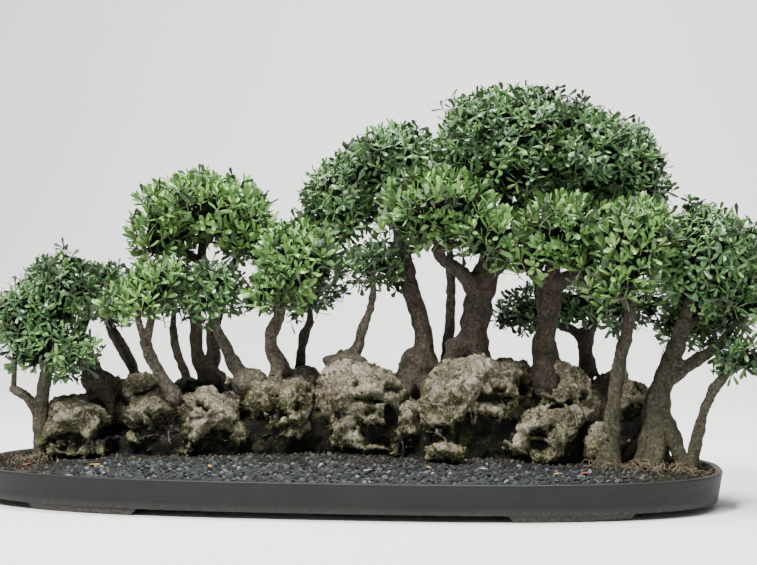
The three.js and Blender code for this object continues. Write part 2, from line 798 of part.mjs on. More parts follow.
// Every leafy head, with the grown outline that the other heads keep clear of.
const heads = trees.flatMap(({ name, tree, seed }) => {
  const crown = { name: `foliage_${name}`, lumps: tree.crown, seed, leaf: tree.leaf };
  const front = { name: `foliage_${name}_front`, lumps: tree.front, seed: seed + 40, leaf: BRIGHT_LEAF };
  return tree.front ? [crown, front] : [crown];
});
for (const head of heads) head.grown = coreSolid(head.lumps, head.seed, WHORL.crownHeight + GAP);

add("tray", traySolid(), STONEWARE);
add("soil", soilSolid().subtract(pegHoles), EARTH);
add("gravel", gravelSolid().subtract(pegHoles), GRIT);

const placedBlades = [];
heads.forEach((head, i) => {
  const others = heads.filter((other) => other !== head).map((other) => other.grown);
  const blocked = union([allWood, allStones, ...others, ...placedBlades]);
  const leafy = head.lumps.map((lump, k) => leafyLump(lump, head.lumps, head.seed + k, blocked));
  const before = heads.slice(0, i).map((other) => other.grown);
  const crown = union(leafy.map(({ solid }) => solid)).subtract(union([allWood, allStones, ...before]));
  placedBlades.push(...leafy.flatMap(({ blades }) => blades));
  add(head.name, crown, head.leaf);
});

// The origin lies under the middle of the whole planting, on the surface that the feet stand on.
const extent = new THREE.Box3().setFromObject(bonsai);
const middle = extent.getCenter(new THREE.Vector3());
bonsai.position.set(-middle.x, -middle.y, -extent.min.z);

export default bonsai;
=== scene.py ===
import json
import math
import random

import bmesh
import bpy
import numpy as np
from bpy.props import FloatProperty, FloatVectorProperty, IntProperty, PointerProperty
from bpy.types import Operator, Panel, PropertyGroup
from mathutils import Euler, Matrix, Vector, noise
from mathutils.bvhtree import BVHTree

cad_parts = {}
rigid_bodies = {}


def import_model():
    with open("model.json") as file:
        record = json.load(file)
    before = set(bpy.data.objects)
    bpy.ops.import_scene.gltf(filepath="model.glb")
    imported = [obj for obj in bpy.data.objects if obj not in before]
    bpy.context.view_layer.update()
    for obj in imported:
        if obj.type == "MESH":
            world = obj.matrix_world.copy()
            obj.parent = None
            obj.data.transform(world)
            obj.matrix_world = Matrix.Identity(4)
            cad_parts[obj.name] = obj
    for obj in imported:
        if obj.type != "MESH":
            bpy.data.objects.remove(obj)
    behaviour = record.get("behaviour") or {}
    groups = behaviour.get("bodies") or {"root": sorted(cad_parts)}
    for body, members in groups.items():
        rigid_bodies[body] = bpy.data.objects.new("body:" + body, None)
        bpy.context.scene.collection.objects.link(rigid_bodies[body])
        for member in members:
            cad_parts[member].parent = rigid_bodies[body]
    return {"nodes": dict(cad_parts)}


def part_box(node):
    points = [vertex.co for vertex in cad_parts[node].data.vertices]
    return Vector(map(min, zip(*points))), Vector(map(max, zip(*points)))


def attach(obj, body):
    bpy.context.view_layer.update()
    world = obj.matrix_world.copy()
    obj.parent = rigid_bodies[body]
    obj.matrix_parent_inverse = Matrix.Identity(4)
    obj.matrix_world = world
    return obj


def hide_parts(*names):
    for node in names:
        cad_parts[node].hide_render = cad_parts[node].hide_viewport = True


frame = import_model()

bl_info = {
    "name": "Olive forest planting",
    "version": (1, 0, 0),
    "blender": (4, 5, 0),
    "location": "3D View > Sidebar > Bonsai",
    "description": "A group of small olive trees on weathered limestone in a long stoneware tray",
    "category": "Add Mesh",
}

MM = 0.001
UP = Vector((0, 0, 1))
GOLDEN_ANGLE = math.radians(137.5)
TRAY_LOW, TRAY_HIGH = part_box("tray")
TRAY_MIDDLE = (TRAY_LOW.x + TRAY_HIGH.x) / 2
NODES = frame["nodes"]
STONES = [name for name in NODES if name.startswith("stone_")]
# Corners of a mesh that lie closer than this are one.
MERGED = 0.01 * MM

# The trees by their bark, the others being dark, and the leafy heads that are darker or brighter than most.
# The bark of the trees on the right is partly greenish and partly darkened as painted shade of the crowns.
PALE_TREES = {"far_left", "left_slender", "left_low", "middle_left", "middle_small", "middle_back"}
SHADED_OLIVE_TREES = {"right_leaning", "right_main", "right_low"}
SHADED_HEADS = {"left_leaning", "left_thin", "middle_left_dark", "middle_back", "right_back", "right_low"}
BRIGHT_HEADS = {"left_slender", "left_main", "middle_left", "main_front", "old_right", "right_leaning"}

# Each tree in millimetres from the middle of the tray: how many roots run out from its foot, its stems as
# routes of (x, y, z, radius), and its crown as masses of leaves (x, y, z, rx, ry, rz, stem that bears it).
TREES = {
    "far_left": (
        5,
        [
            [(-397, -48, 58, 17), (-404, -45, 92, 11.4), (-401, -44, 136, 9.6), (-393, -38, 190, 8)],
            [(-404, -46, 108, 8), (-424, -46, 133, 6.2), (-446, -44, 145, 5)],
        ],
        [(-435, -40, 228, 57, 48, 54, 1), (-381, -25, 266, 63, 54, 60, 0), (-380, -56, 186, 56, 40, 40, 0)],
    ),
    "left_stub": (
        5,
        [[(-340, 15, 128, 19), (-351, 15, 158, 16), (-364, 15, 190, 12), (-374, 17, 220, 9)]],
        [(-344, 26, 270, 46, 40, 44, 0)],
    ),
    "left_leaning": (
        4,
        [[(-310, 80, 158, 9), (-325, 82, 188, 8), (-342, 84, 212, 7.5), (-350, 86, 232, 6.5)]],
        [(-352, 92, 268, 46, 42, 38, 0)],
    ),
    "left_slender": (
        4,
        [[(-219, -52, 138, 11.5), (-236, -54, 163, 8.4), (-247, -56, 187, 7.8), (-257, -57, 212, 7.4)]],
        [(-268, -64, 252, 46, 36, 34, 0), (-236, -50, 284, 32, 30, 30, 0)],
    ),
    "left_thin": (
        3,
        [[(-227, 52, 152, 9), (-236, 54, 176, 6.2), (-245, 57, 200, 6), (-250, 60, 226, 5.4)]],
        [(-250, 70, 274, 44, 40, 42, 0)],
    ),
    "left_main": (
        5,
        [
            [(-196, 34, 154, 17), (-207, 33, 184, 9.4), (-208, 31, 246, 8.8), (-200, 28, 322, 8)],
            [(-190, 26, 158, 13), (-183, 25, 190, 10), (-182, 24, 226, 9.6), (-166, 22, 284, 7.6)],
        ],
        [(-197, 30, 384, 88, 80, 54, 0), (-250, 18, 338, 50, 55, 50, 0), (-137, 24, 348, 46, 58, 49, 1)],
    ),
    "left_low": (
        5,
        [[(-128, -12, 150, 16), (-142, -12, 174, 10.6), (-155, -14, 197, 8.6), (-168, -16, 222, 7)]],
        [(-172, -30, 268, 46, 42, 54, 0)],
    ),
    "middle_left": (
        4,
        [[(-87, 0, 172, 14), (-96, 0, 196, 9.6), (-96, 0, 218, 9.4), (-84, -2, 242, 8)]],
        [(-59, -14, 312, 62, 56, 54, 0), (-84, -18, 268, 45, 41, 43, 0)],
    ),
    "middle_left_dark": (
        3,
        [[(-65, 48, 172, 9), (-63, 48, 197, 6.8), (-59, 48, 218, 6.6), (-50, 48, 236, 5.6)]],
        [(-56, 54, 262, 42, 40, 40, 0)],
    ),
    "middle_small": (
        5,
        [[(5, -6, 174, 18), (20, -6, 200, 7.8), (29, -6, 226, 6.2), (39, -7, 252, 6), (44, -8, 272, 5.2)]],
        [(44, -12, 307, 43, 40, 37, 0)],
    ),
    "old_left": (
        6,
        [
            [
                (95, 4, 148, 23), (104, 5, 180, 19), (110, 6, 204, 12.4), (104, 8, 240, 11.4),
                (87, 20, 288, 12), (72, 42, 370, 8.5),
            ],
        ],
        [(-4, 46, 396, 60, 64, 64, 0), (66, 58, 445, 80, 80, 62, 0)],
    ),
    "middle_back": (
        3,
        [[(135, 64, 184, 10), (140, 65, 236, 7), (142, 66, 276, 6.8), (140, 70, 316, 6)]],
        [(132, 92, 360, 56, 48, 50, 0)],
    ),
    "main": (
        6,
        [
            [
                (174, 18, 192, 28), (177, 17, 228, 19), (184, 16, 276, 20), (194, 20, 312, 16),
                (216, 32, 384, 10.5),
            ],
            [(184, 10, 274, 15), (160, -2, 302, 9.5), (136, -12, 318, 8), (128, -18, 334, 6.6)],
            [(192, 14, 296, 13), (216, 4, 318, 9), (232, 8, 344, 7.4)],
        ],
        [
            (230, 48, 464, 114, 98, 92, 0), (336, 42, 441, 94, 88, 80, 0), (392, 30, 404, 48, 56, 48, 0),
            (134, -32, 378, 79, 54, 55, 1), (200, -50, 343, 55, 42, 42, 1),
        ],
    ),
    "old_right": (
        6,
        [
            [
                (273, 6, 168, 24), (269, 6, 201, 15.4), (273, 5, 235, 14), (276, 4, 264, 16),
                (280, 2, 292, 14),
            ],
        ],
        [(294, -26, 354, 74, 60, 57, 0), (250, -34, 306, 45, 38, 35, 0), (332, -32, 298, 46, 42, 42, 0)],
    ),
    "right_back": (
        4,
        [
            [(329, 82, 170, 12.6), (326, 82, 198, 11), (331, 84, 226, 9.6)],
            [(328, 82, 206, 8.6), (306, 88, 222, 6.4), (288, 92, 228, 5)],
        ],
        [(352, 92, 256, 70, 48, 47, 0), (264, 96, 240, 66, 44, 41, 1)],
    ),
    "right_leaning": (
        5,
        [
            [
                (352, -62, 56, 18), (356, -46, 96, 11.5), (362, -42, 148, 9.2), (372, -42, 206, 8.5),
                (383, -42, 258, 7.2),
            ],
        ],
        [(388, -42, 334, 64, 56, 62, 0), (364, -60, 274, 40, 34, 32, 0)],
    ),
    "right_main": (
        7,
        [
            [
                (421, -18, 62, 34), (416, -15, 108, 20), (418, -14, 144, 15.2), (440, -10, 198, 12),
                (453, -8, 240, 10),
            ],
            [(424, -14, 158, 12), (446, -14, 172, 9.6), (472, -14, 190, 8), (498, -12, 208, 6.6)],
        ],
        [(472, -6, 316, 80, 74, 76, 0), (534, -6, 262, 52, 54, 52, 1), (480, 44, 238, 62, 50, 60, 0)],
    ),
    "right_low": (
        4,
        [
            [
                (460, -34, 56, 11), (468, -33, 96, 7.6), (477, -32, 128, 7), (491, -31, 154, 6.4),
                (508, -26, 174, 5),
            ],
        ],
        [(530, -18, 182, 50, 46, 39, 0)],
    ),
}

# Swollen feet of old trees: (x, y, z, rx, ry, rz).
MOUNDS = {
    "left_stub": [(-342, 10, 150, 24, 22, 19)],
    "left_main": [(-183, 20, 156, 19, 18, 12)],
    "left_low": [(-121, -20, 152, 24, 22, 21)],
    "middle_small": [(8, -10, 178, 32, 24, 17)],
    "old_left": [(105, 2, 168, 27, 26, 33)],
    "main": [(160, 12, 200, 22, 22, 17)],
    "old_right": [(275, 3, 150, 18, 17, 26)],
}

# Thick roots that carry a trunk or clasp its stone: routes of (x, y, z, radius).
STRONG_ROOTS = {
    "right_main": [
        [(417, -16, 122, 12), (404, -24, 96, 8.5), (397, -30, 74, 7), (388, -40, 55, 6)],
        [(422, -16, 122, 12), (435, -22, 98, 8.5), (443, -28, 76, 7.5), (452, -38, 55, 6)],
        [(418, -20, 110, 9), (415, -36, 88, 6.5), (419, -46, 68, 6), (414, -58, 55, 5)],
        [(420, -6, 116, 13), (422, 8, 86, 10), (428, 20, 54, 9)],
        [(404, -22, 98, 7), (396, -14, 84, 6), (380, -20, 66, 5.5), (372, -24, 54, 4)],
    ],
    "main": [[(166, 12, 212, 12), (148, 0, 192, 9), (134, -12, 172, 5)]],
    "old_left": [
        [(98, -8, 168, 14), (90, -24, 142, 10), (84, -42, 112, 6)],
        [(108, -8, 166, 12), (116, -28, 142, 8), (118, -46, 118, 5)],
    ],
    "left_stub": [[(-340, 6, 150, 12), (-322, -8, 128, 9), (-312, -26, 108, 5)]],
}

# Heaps of packed earth that carry a trunk between the stones: (x, y, z, reach along x, y and z).
HEAPS = [(-225, 50, 126, 32, 26, 28), (-194, 30, 128, 36, 30, 28), (-300, 76, 132, 26, 24, 28)]

# The deep hollows of the stones in millimetres: (x, z, half width, half height). They run in from both sides.
HOLLOWS = [
    (-307, 82, 19, 21), (-280, 66, 24, 11), (-225, 93, 29, 29), (-154, 65, 50, 12), (-104, 96, 11, 42),
    (-89, 74, 13, 21), (-63, 68, 34, 16), (-49, 126, 9, 9), (-16, 90, 11, 18), (46, 134, 24, 4),
    (74, 108, 9, 23), (102, 72, 18, 21), (195, 92, 44, 27), (214, 137, 28, 6), (250, 156, 8, 15),
    (263, 87, 13, 15), (381, 105, 16, 24),
]

# Stones that are worn flatter and paler than the others.
SMOOTH_STONES = {"stone_pebble", "stone_centre"}

# Thin roots over the faces of the stones: routes of (x, z) in millimetres, and the radius of the first point.
DRAPED = [
    ([(97, 127), (113, 116), (131, 100), (153, 80)], 2.6),
    ([(185, 133), (182, 101), (187, 71)], 2.6),
    ([(175, 126), (178, 110), (177, 94)], 1.8),
    ([(220, 83), (236, 77), (252, 68), (266, 60)], 3.0),
    ([(262, 142), (286, 136), (306, 121), (313, 110), (311, 93)], 3.4),
    ([(252, 90), (274, 88), (287, 73), (274, 60)], 2.6),
    ([(83, 95), (89, 78), (87, 62)], 2.0),
    ([(108, 138), (122, 132), (140, 128), (150, 112)], 2.0),
    ([(-30, 150), (-26, 134), (-34, 116)], 1.8),
    ([(-120, 128), (-112, 112), (-118, 92)], 1.8),
]

# Fallen leaves on the gravel: x and y in millimetres, the turn, and the tone.
FALLEN = [
    (-309, -128, 0.3, 0.1), (-405, -110, 1.2, 0.5), (132, -138, 2.0, 0.1), (283, -142, 0.7, 0.2),
    (202, -134, 2.6, 0.8), (60, -150, 4.0, 0.8), (-150, -140, 5.1, 0.2), (330, -128, 3.3, 0.5),
]

# Where dry grass and fine roots stick out of the soil: x, y and half width in millimetres, and their number.
STRAW = [(412, -54, 36, 90), (352, -82, 22, 18), (-392, -78, 30, 30), (455, -60, 22, 14)]

# Rows across a leaf: share of its length, share of its half width.
OUTER_LEAF = ((0.0, 0.12), (0.48, 0.82), (0.84, 0.84))
INNER_LEAF = ((0.0, 0.12), (0.78, 0.95))


# ---------------------------------------------------------------- sizes and colours a user would change


def length(name, description, default_mm, least_mm=0.0):
    default, least = default_mm * MM, least_mm * MM
    return FloatProperty(
        name=name, description=description, default=default, min=least, unit="LENGTH", precision=4
    )


def share(name, description, default, least=0.0, most=10.0):
    return FloatProperty(name=name, description=description, default=default, min=least, max=most)


def number(name, description, default, least=0):
    return IntProperty(name=name, description=description, default=default, min=least)


def colour(name, description, default):
    return FloatVectorProperty(
        name=name, description=description, default=default, subtype="COLOR", size=3, min=0.0, max=1.0
    )


class TraySizes(PropertyGroup):
    wall: length("Wall", "Thickness of the tray's wall at the rim", 9, 2)
    taper: length("Taper", "How far the wall leans in from the rim to the base", 6)
    foot_height: length("Foot height", "Height of the feet", 8, 2)
    rim_round: length("Rim rounding", "Radius of the rim's two edges", 1.6, 0.2)
    squareness: share("Squareness", "2 gives an ellipse in plan, a higher number a fuller end", 2.7, 2.0, 6.0)
    sectors: number("Sectors", "Divisions round the plan", 176, 32)
    glaze: colour("Clay", "Colour of the fired clay", (0.0062, 0.0068, 0.0064))


class GravelSizes(PropertyGroup):
    spacing: length("Spacing", "Least distance between two grains", 5.7, 2)
    grain: length("Grain", "Mean radius of a grain", 3.9, 1)
    seed: number("Seed", "Seed of the scatter", 4)
    dark: colour("Dark grains", "Colour of the darkest grains", (0.012, 0.014, 0.015))
    pale: colour("Pale grains", "Colour of the palest grains", (0.26, 0.27, 0.255))


class StoneSizes(PropertyGroup):
    voxel: length("Facet", "Size of the facets of the remeshed stones", 3.4, 1)
    lumps: length("Lumps", "Depth of the large unevenness", 9)
    ridges: length("Ridges", "Depth of the sharp creases", 4.6)
    hollows: length("Hollows", "Depth of the dark hollows", 20)
    pits: length("Pits", "Depth of the small pits", 3.4)
    pale: colour("Pale stone", "Colour of the washed tops", (0.6, 0.53, 0.44))
    brown: colour("Brown stone", "Colour of the stained parts", (0.22, 0.17, 0.125))
    # The hollow colour is partly earth and partly painted shade in the deep hollows.
    shade: colour("Hollow", "Colour of the earth in the hollows", (0.012, 0.011, 0.009))


class BarkSizes(PropertyGroup):
    voxel: length("Facet", "Size of the facets of the remeshed wood", 2.7, 0.8)
    ridges: length("Ridges", "Depth of the bark's ridges", 2.55)
    burls: share("Burls", "Swelling of the trunks, as a share of their radius", 0.2, 0.0, 0.5)
    pale: colour("Pale bark", "Colour of the young grey bark", (0.102, 0.088, 0.064))
    dark: colour("Dark bark", "Colour of the old brown bark", (0.054, 0.042, 0.03))
    # Partly the bark's greenish colour, partly painted shade of the crowns over the trees on the right.
    shaded_olive: colour("Olive bark", "Colour of the greenish bark on the right", (0.062, 0.055, 0.037))


class LeafSizes(PropertyGroup):
    length: length("Leaf length", "Length of a full-grown leaf", 20, 5)
    width: length("Leaf width", "Greatest width of a leaf", 8, 2)
    spacing: length("Shoot spacing", "Least distance between two outer shoots", 12.6, 5)
    depth: length("Inner depth", "How far the inner shoots lie below the outer ones", 13)
    core: length("Core depth", "How far the dark core lies below the surface of a head", 9)
    seed: number("Seed", "Seed of the shoots", 11)
    bright: colour("Bright leaf", "Colour of the leaves in the light", (0.155, 0.32, 0.085))
    dark: colour("Dark leaf", "Colour of the older leaves", (0.012, 0.055, 0.024))
    # The dark leaf colour is partly older leaves and partly painted shade.
    young: colour("Young leaf", "Colour of the newest leaves", (0.33, 0.5, 0.14))


class GreenerySizes(PropertyGroup):
    tuft: length("Moss tuft", "Height of a tuft of moss", 4.2, 1)
    spacing: length("Moss spacing", "Least distance between two tufts", 5.8, 1)
    moss: colour("Moss", "Colour of the living moss", (0.1, 0.115, 0.03))
    straw: colour("Straw", "Colour of dry grass and fine roots", (0.24, 0.19, 0.115))


class StageSizes(PropertyGroup):
    distance: length("Camera distance", "From the middle of the tray to the camera", 2018)
    height: length("Camera height", "Height of the camera over the floor", 298)
    turn: FloatProperty(
        name="Camera turn",
        description="Turn of the camera about the vertical",
        default=math.radians(7),
        subtype="ANGLE",
    )
    lens: share("Lens", "Focal length on a 36 mm sensor", 71.33, 10.0, 500.0)
    floor: colour("Floor", "Colour of the floor", (0.66, 0.655, 0.645))


SIZE_GROUPS = {
    "bonsai_tray": TraySizes,
    "bonsai_gravel": GravelSizes,
    "bonsai_stone": StoneSizes,
    "bonsai_bark": BarkSizes,
    "bonsai_leaf": LeafSizes,
    "bonsai_greenery": GreenerySizes,
    "bonsai_stage": StageSizes,
}


# ---------------------------------------------------------------- node trees


class Value:
    """What a node gives, so that a formula of nodes is written like one of numbers."""

    def __init__(self, tree, socket):
        self.tree = tree
        self.socket = socket

    def __add__(self, other):
        return self.tree.maths("ADD", self, other)

    def __sub__(self, other):
        return self.tree.maths("SUBTRACT", self, other)

    def __mul__(self, other):
        return self.tree.maths("MULTIPLY", self, other)

    def __abs__(self):
        return self.tree.maths("ABSOLUTE", self)

    def between(self, low, high, to_low=0.0, to_high=1.0, kind="LINEAR"):
        """How far it is from low to high, turned into the way from to_low to to_high and held there."""
        inputs = {"Value": self, "From Min": low, "From Max": high, "To Min": to_low, "To Max": to_high}
        return self.tree.give("ShaderNodeMapRange", inputs, "Result", interpolation_type=kind)

    def part(self, axis):
        return self.tree.give("ShaderNodeSeparateXYZ", {0: self}, axis)

    def stretched(self, factors):
        return self.tree.give("ShaderNodeVectorMath", {0: self, 1: factors}, operation="MULTIPLY")

    def moved(self, other):
        return self.tree.give("ShaderNodeVectorMath", {0: self, 1: other}, operation="ADD")

    def scaled(self, factor):
        return self.tree.give("ShaderNodeVectorMath", {0: self, "Scale": factor}, operation="SCALE")


class Tree:
    """A node tree to which nodes are added one by one."""

    def __init__(self, tree):
        self.tree = tree

    def feed(self, socket, value):
        """Sets a socket, or links it to what a node gives."""
        if isinstance(value, Value):
            self.tree.links.new(value.socket, socket)
        else:
            socket.default_value = value

    def node(self, kind, inputs=None, **settings):
        """A node with its settings made and its inputs fed, each named by its label or its number."""
        node = self.tree.nodes.new(kind)
        for name, setting in settings.items():
            setattr(node, name, setting)
        for key, value in (inputs or {}).items():
            self.feed(node.inputs[key], value)
        return node

    def give(self, kind, inputs=None, output=0, **settings):
        return Value(self, self.node(kind, inputs, **settings).outputs[output])

    def maths(self, operation, a, b=0.0, clamp=False):
        return self.give("ShaderNodeMath", {0: a, 1: b}, operation=operation, use_clamp=clamp)

    def noise(self, place, scale, detail=2.0, roughness=0.5, **more):
        inputs = {"Vector": place, "Scale": scale, "Detail": detail, "Roughness": roughness, **more}
        return self.give("ShaderNodeTexNoise", inputs)

    def cells(self, place, scale):
        return self.give("ShaderNodeTexVoronoi", {"Vector": place, "Scale": scale}, "Distance")

    def mixed(self, factor, a, b):
        """A blend of two colours."""
        a, b = (tint if isinstance(tint, Value) else (*tint, 1) for tint in (a, b))
        return self.give("ShaderNodeMix", {0: factor, 6: a, 7: b}, 2, data_type="RGBA")


class Group(Tree):
    """A node group. Each of its inputs is known by its default number, or else by its kind."""

    def __init__(self, name, inputs, kind="GeometryNodeTree"):
        super().__init__(bpy.data.node_groups.new(name, kind))
        for label, default in inputs.items():
            socket = {float: "Float", int: "Int"}.get(type(default), default)
            made = self.tree.interface.new_socket(label, in_out="INPUT", socket_type=f"NodeSocket{socket}")
            if socket != default:
                made.default_value = default
        given = self.tree.nodes.new("NodeGroupInput").outputs
        self.given = {label: Value(self, given[label]) for label in inputs}

    def results(self, kind, values):
        for label in values:
            self.tree.interface.new_socket(label, in_out="OUTPUT", socket_type=f"NodeSocket{kind}")
        result = self.tree.nodes.new("NodeGroupOutput")
        for label, value in values.items():
            self.feed(result.inputs[label], value)
        return self.tree

    def finished(self, geometry):
        """Ends the group with a geometry in the finish that was given."""
        inputs = {"Geometry": geometry, "Material": self.given["Finish"]}
        return self.results("Geometry", {"Geometry": self.give("GeometryNodeSetMaterial", inputs)})

    def whole(self, geometry):
        return self.finished(self.give("GeometryNodeRealizeInstances", {0: geometry}))

    def field(self, name):
        """What each point knows of itself: Position, Normal or Radius."""
        return self.give(f"GeometryNodeInput{name}")

    def named(self, name):
        return self.give("GeometryNodeInputNamedAttribute", {"Name": name}, data_type="FLOAT")

    def offset(self, geometry, direction, depth):
        inputs = {"Geometry": geometry, "Offset": direction.scaled(depth)}
        return self.give("GeometryNodeSetPosition", inputs)

    def stored(self, geometry, domain, **values):
        """The geometry with some values stored by name."""
        for name, value in values.items():
            inputs = {"Geometry": geometry, "Name": name, "Value": value}
            geometry = self.give(
                "GeometryNodeStoreNamedAttribute", inputs, data_type="FLOAT", domain=domain
            )
        return geometry

    def random(self, low, high, seed):
        """A random number, or a random vector between two corners."""
        if isinstance(low, tuple):
            inputs = {0: low, 1: high, "Seed": seed}
            return self.give("FunctionNodeRandomValue", inputs, 0, data_type="FLOAT_VECTOR")
        return self.give("FunctionNodeRandomValue", {2: low, 3: high, "Seed": seed}, 1, data_type="FLOAT")

    def spread(self, surface, spacing, most, density, seed):
        """The points and the normals of places that keep a distance from each other."""
        inputs = {"Mesh": surface, "Distance Min": spacing, "Density Max": most}
        inputs |= {"Density Factor": density, "Seed": seed}
        node = self.node("GeometryNodeDistributePointsOnFaces", inputs, distribute_method="POISSON")
        return Value(self, node.outputs["Points"]), Value(self, node.outputs["Normal"])

    def instances(self, points, shape, rotation, scale, pick=True):
        inputs = {"Points": points, "Instance": shape, "Pick Instance": pick}
        inputs |= {"Rotation": rotation, "Scale": scale}
        return self.give("GeometryNodeInstanceOnPoints", inputs)

    def shapes(self, kinds):
        inputs = {"Collection": kinds, "Separate Children": True, "Reset Children": True}
        return self.give("GeometryNodeCollectionInfo", inputs)

    def aimed(self, direction):
        return self.give("FunctionNodeAlignRotationToVector", {"Vector": direction}, axis="Z")


def mottling():
    """The group that several finishes share: uneven colour at three scales, and a height for a Bump node."""
    if "mottling" in bpy.data.node_groups:
        return bpy.data.node_groups["mottling"]
    inputs = {"Vector": "Vector", "Patch Scale": 30.0, "Grain Scale": 400.0, "Speck Scale": 500.0}
    tree = Group("mottling", inputs, "ShaderNodeTree")
    place, patch_scale, grain_scale, speck_scale = tree.given.values()
    patches = tree.noise(place, patch_scale, 5.0, 0.62, Distortion=0.6)
    grain = tree.noise(place, grain_scale, 4.0, 0.65)
    specks = tree.cells(place, speck_scale).between(0.12, 0.3, 1.0, 0.0)
    values = {
        "Patches": patches.between(0.36, 0.64),
        "Grain": grain.between(0.3, 0.7),
        "Specks": specks,
        "Height": specks * -0.5 + (grain + patches * 2),
    }
    return tree.results("Float", values)


class Finish(Tree):
    """A material whose colour is laid on in coats."""

    def __init__(self, name, rough, specular):
        self.material = bpy.data.materials.new(name)
        self.material.use_nodes = True
        super().__init__(self.material.node_tree)
        self.shader = self.tree.nodes["Principled BSDF"].inputs
        self.shader["Roughness"].default_value = rough
        self.shader["Specular IOR Level"].default_value = specular
        self.place = self.give("ShaderNodeTexCoord", output="Object")

    def marks(self, patch, grain, speck):
        """Patches, grain, specks and height at three scales."""
        inputs = {"Vector": self.place, "Patch Scale": patch, "Grain Scale": grain, "Speck Scale": speck}
        node = self.node("ShaderNodeGroup", inputs, node_tree=mottling())
        return [Value(self, socket) for socket in node.outputs]

    def attribute(self, name):
        return self.give("ShaderNodeAttribute", output="Fac", attribute_name=name)

    def patches(self, scale, low, high, dark, pale, detail=3.0):
        """The first coat: two colours in patches."""
        self.coats = self.mixed(self.noise(self.place, scale, detail).between(low, high), dark, pale)

    def coat(self, *coats):
        """Lays on more coats of (mask, colour)."""
        for mask, tint in coats:
            self.coats = self.mixed(mask, self.coats, tint)

    def done(self, height=None, strength=0.0, distance_mm=0.0):
        """The material, with a bump where a height is given."""
        self.feed(self.shader["Base Color"], self.coats)
        if height:
            inputs = {"Strength": strength, "Distance": distance_mm * MM, "Height": height}
            self.feed(self.shader["Normal"], self.give("ShaderNodeBump", inputs, "Normal"))
        return self.material


def tinted(base, factor):
    return tuple(min(1.0, c * factor) for c in base)


# ---------------------------------------------------------------- finishes


def stoneware_finish(sizes):
    paint = Finish("stoneware", 0.6, 0.28)
    patches, grain, specks, height = paint.marks(9.0, 260.0, 420.0)
    clay = sizes.glaze[:]
    streak = paint.noise(paint.place.stretched((6, 6, 90)), 3.0, 3.0)
    dust = paint.place.part("Z").between(0.018, 0.006) * grain
    paint.coats = paint.mixed(patches, tinted(clay, 0.82), tinted(clay, 1.25))
    paint.coat(
        (streak.between(0.45, 0.75, 0.0, 0.45), tinted(clay, 1.7)),
        (specks * 0.22, (0.02, 0.018, 0.015)),
        (dust * 0.35, (0.19, 0.175, 0.15)),
    )
    paint.feed(paint.shader["Roughness"], grain.between(0, 1, 0.48, 0.66))
    return paint.done(height, 0.25, 0.6)


def gravel_finish(sizes):
    paint = Finish("gravel", 0.9, 0.12)
    _, grain, specks, height = paint.marks(120.0, 900.0, 800.0)
    tone = paint.attribute("grain_tone")
    ramp = paint.node("ShaderNodeValToRGB", {0: tone})
    stops = [
        (0.32, (0.014, 0.0155, 0.016)),
        (0.76, (0.062, 0.069, 0.072)),
        (0.86, (0.05, 0.042, 0.03)),
        (0.96, (0.11, 0.12, 0.118)),
        (1.0, sizes.pale[:]),
    ]
    elements = ramp.color_ramp.elements
    elements.remove(elements[1])
    elements[0].color = (*sizes.dark, 1)
    for where, tint in stops:
        elements.new(where).color = (*tint, 1)
    wander = paint.noise(paint.place, 26.0, 3.0)
    # Dark earth towards the ends of the tray; towards the stones partly dark earth and partly painted shade.
    ends = (wander * 0.12 + abs(paint.place.part("X") - TRAY_MIDDLE)).between(0.4, 0.46)
    near = (wander * 0.05 + paint.place.part("Y")).between(-0.09, -0.075)
    earth_and_shade = paint.maths("MAXIMUM", near * 0.55, ends) * 0.8
    paint.coats = Value(paint, ramp.outputs[0])
    paint.coat(
        (grain * 0.3, (0.03, 0.03, 0.03)),
        (specks * 0.25, (0.25, 0.26, 0.25)),
        (earth_and_shade, paint.mixed(tone, (0.012, 0.01, 0.007), (0.06, 0.046, 0.028))),
    )
    return paint.done(height, 0.4, 0.4)


def soil_finish():
    if "dark_soil" in bpy.data.materials:
        return bpy.data.materials["dark_soil"]
    paint = Finish("dark_soil", 0.95, 0.2)
    patches, _, specks, height = paint.marks(60.0, 500.0, 300.0)
    moss = paint.noise(paint.place, 70.0, 5.0, 0.8)
    paint.coats = paint.mixed(patches, (0.002, 0.0024, 0.0015), (0.008, 0.0072, 0.0048))
    paint.coat((specks, (0.026, 0.023, 0.016)), (moss.between(0.54, 0.62, 0.0, 0.7), (0.045, 0.05, 0.016)))
    return paint.done(height, 0.7, 1.5)


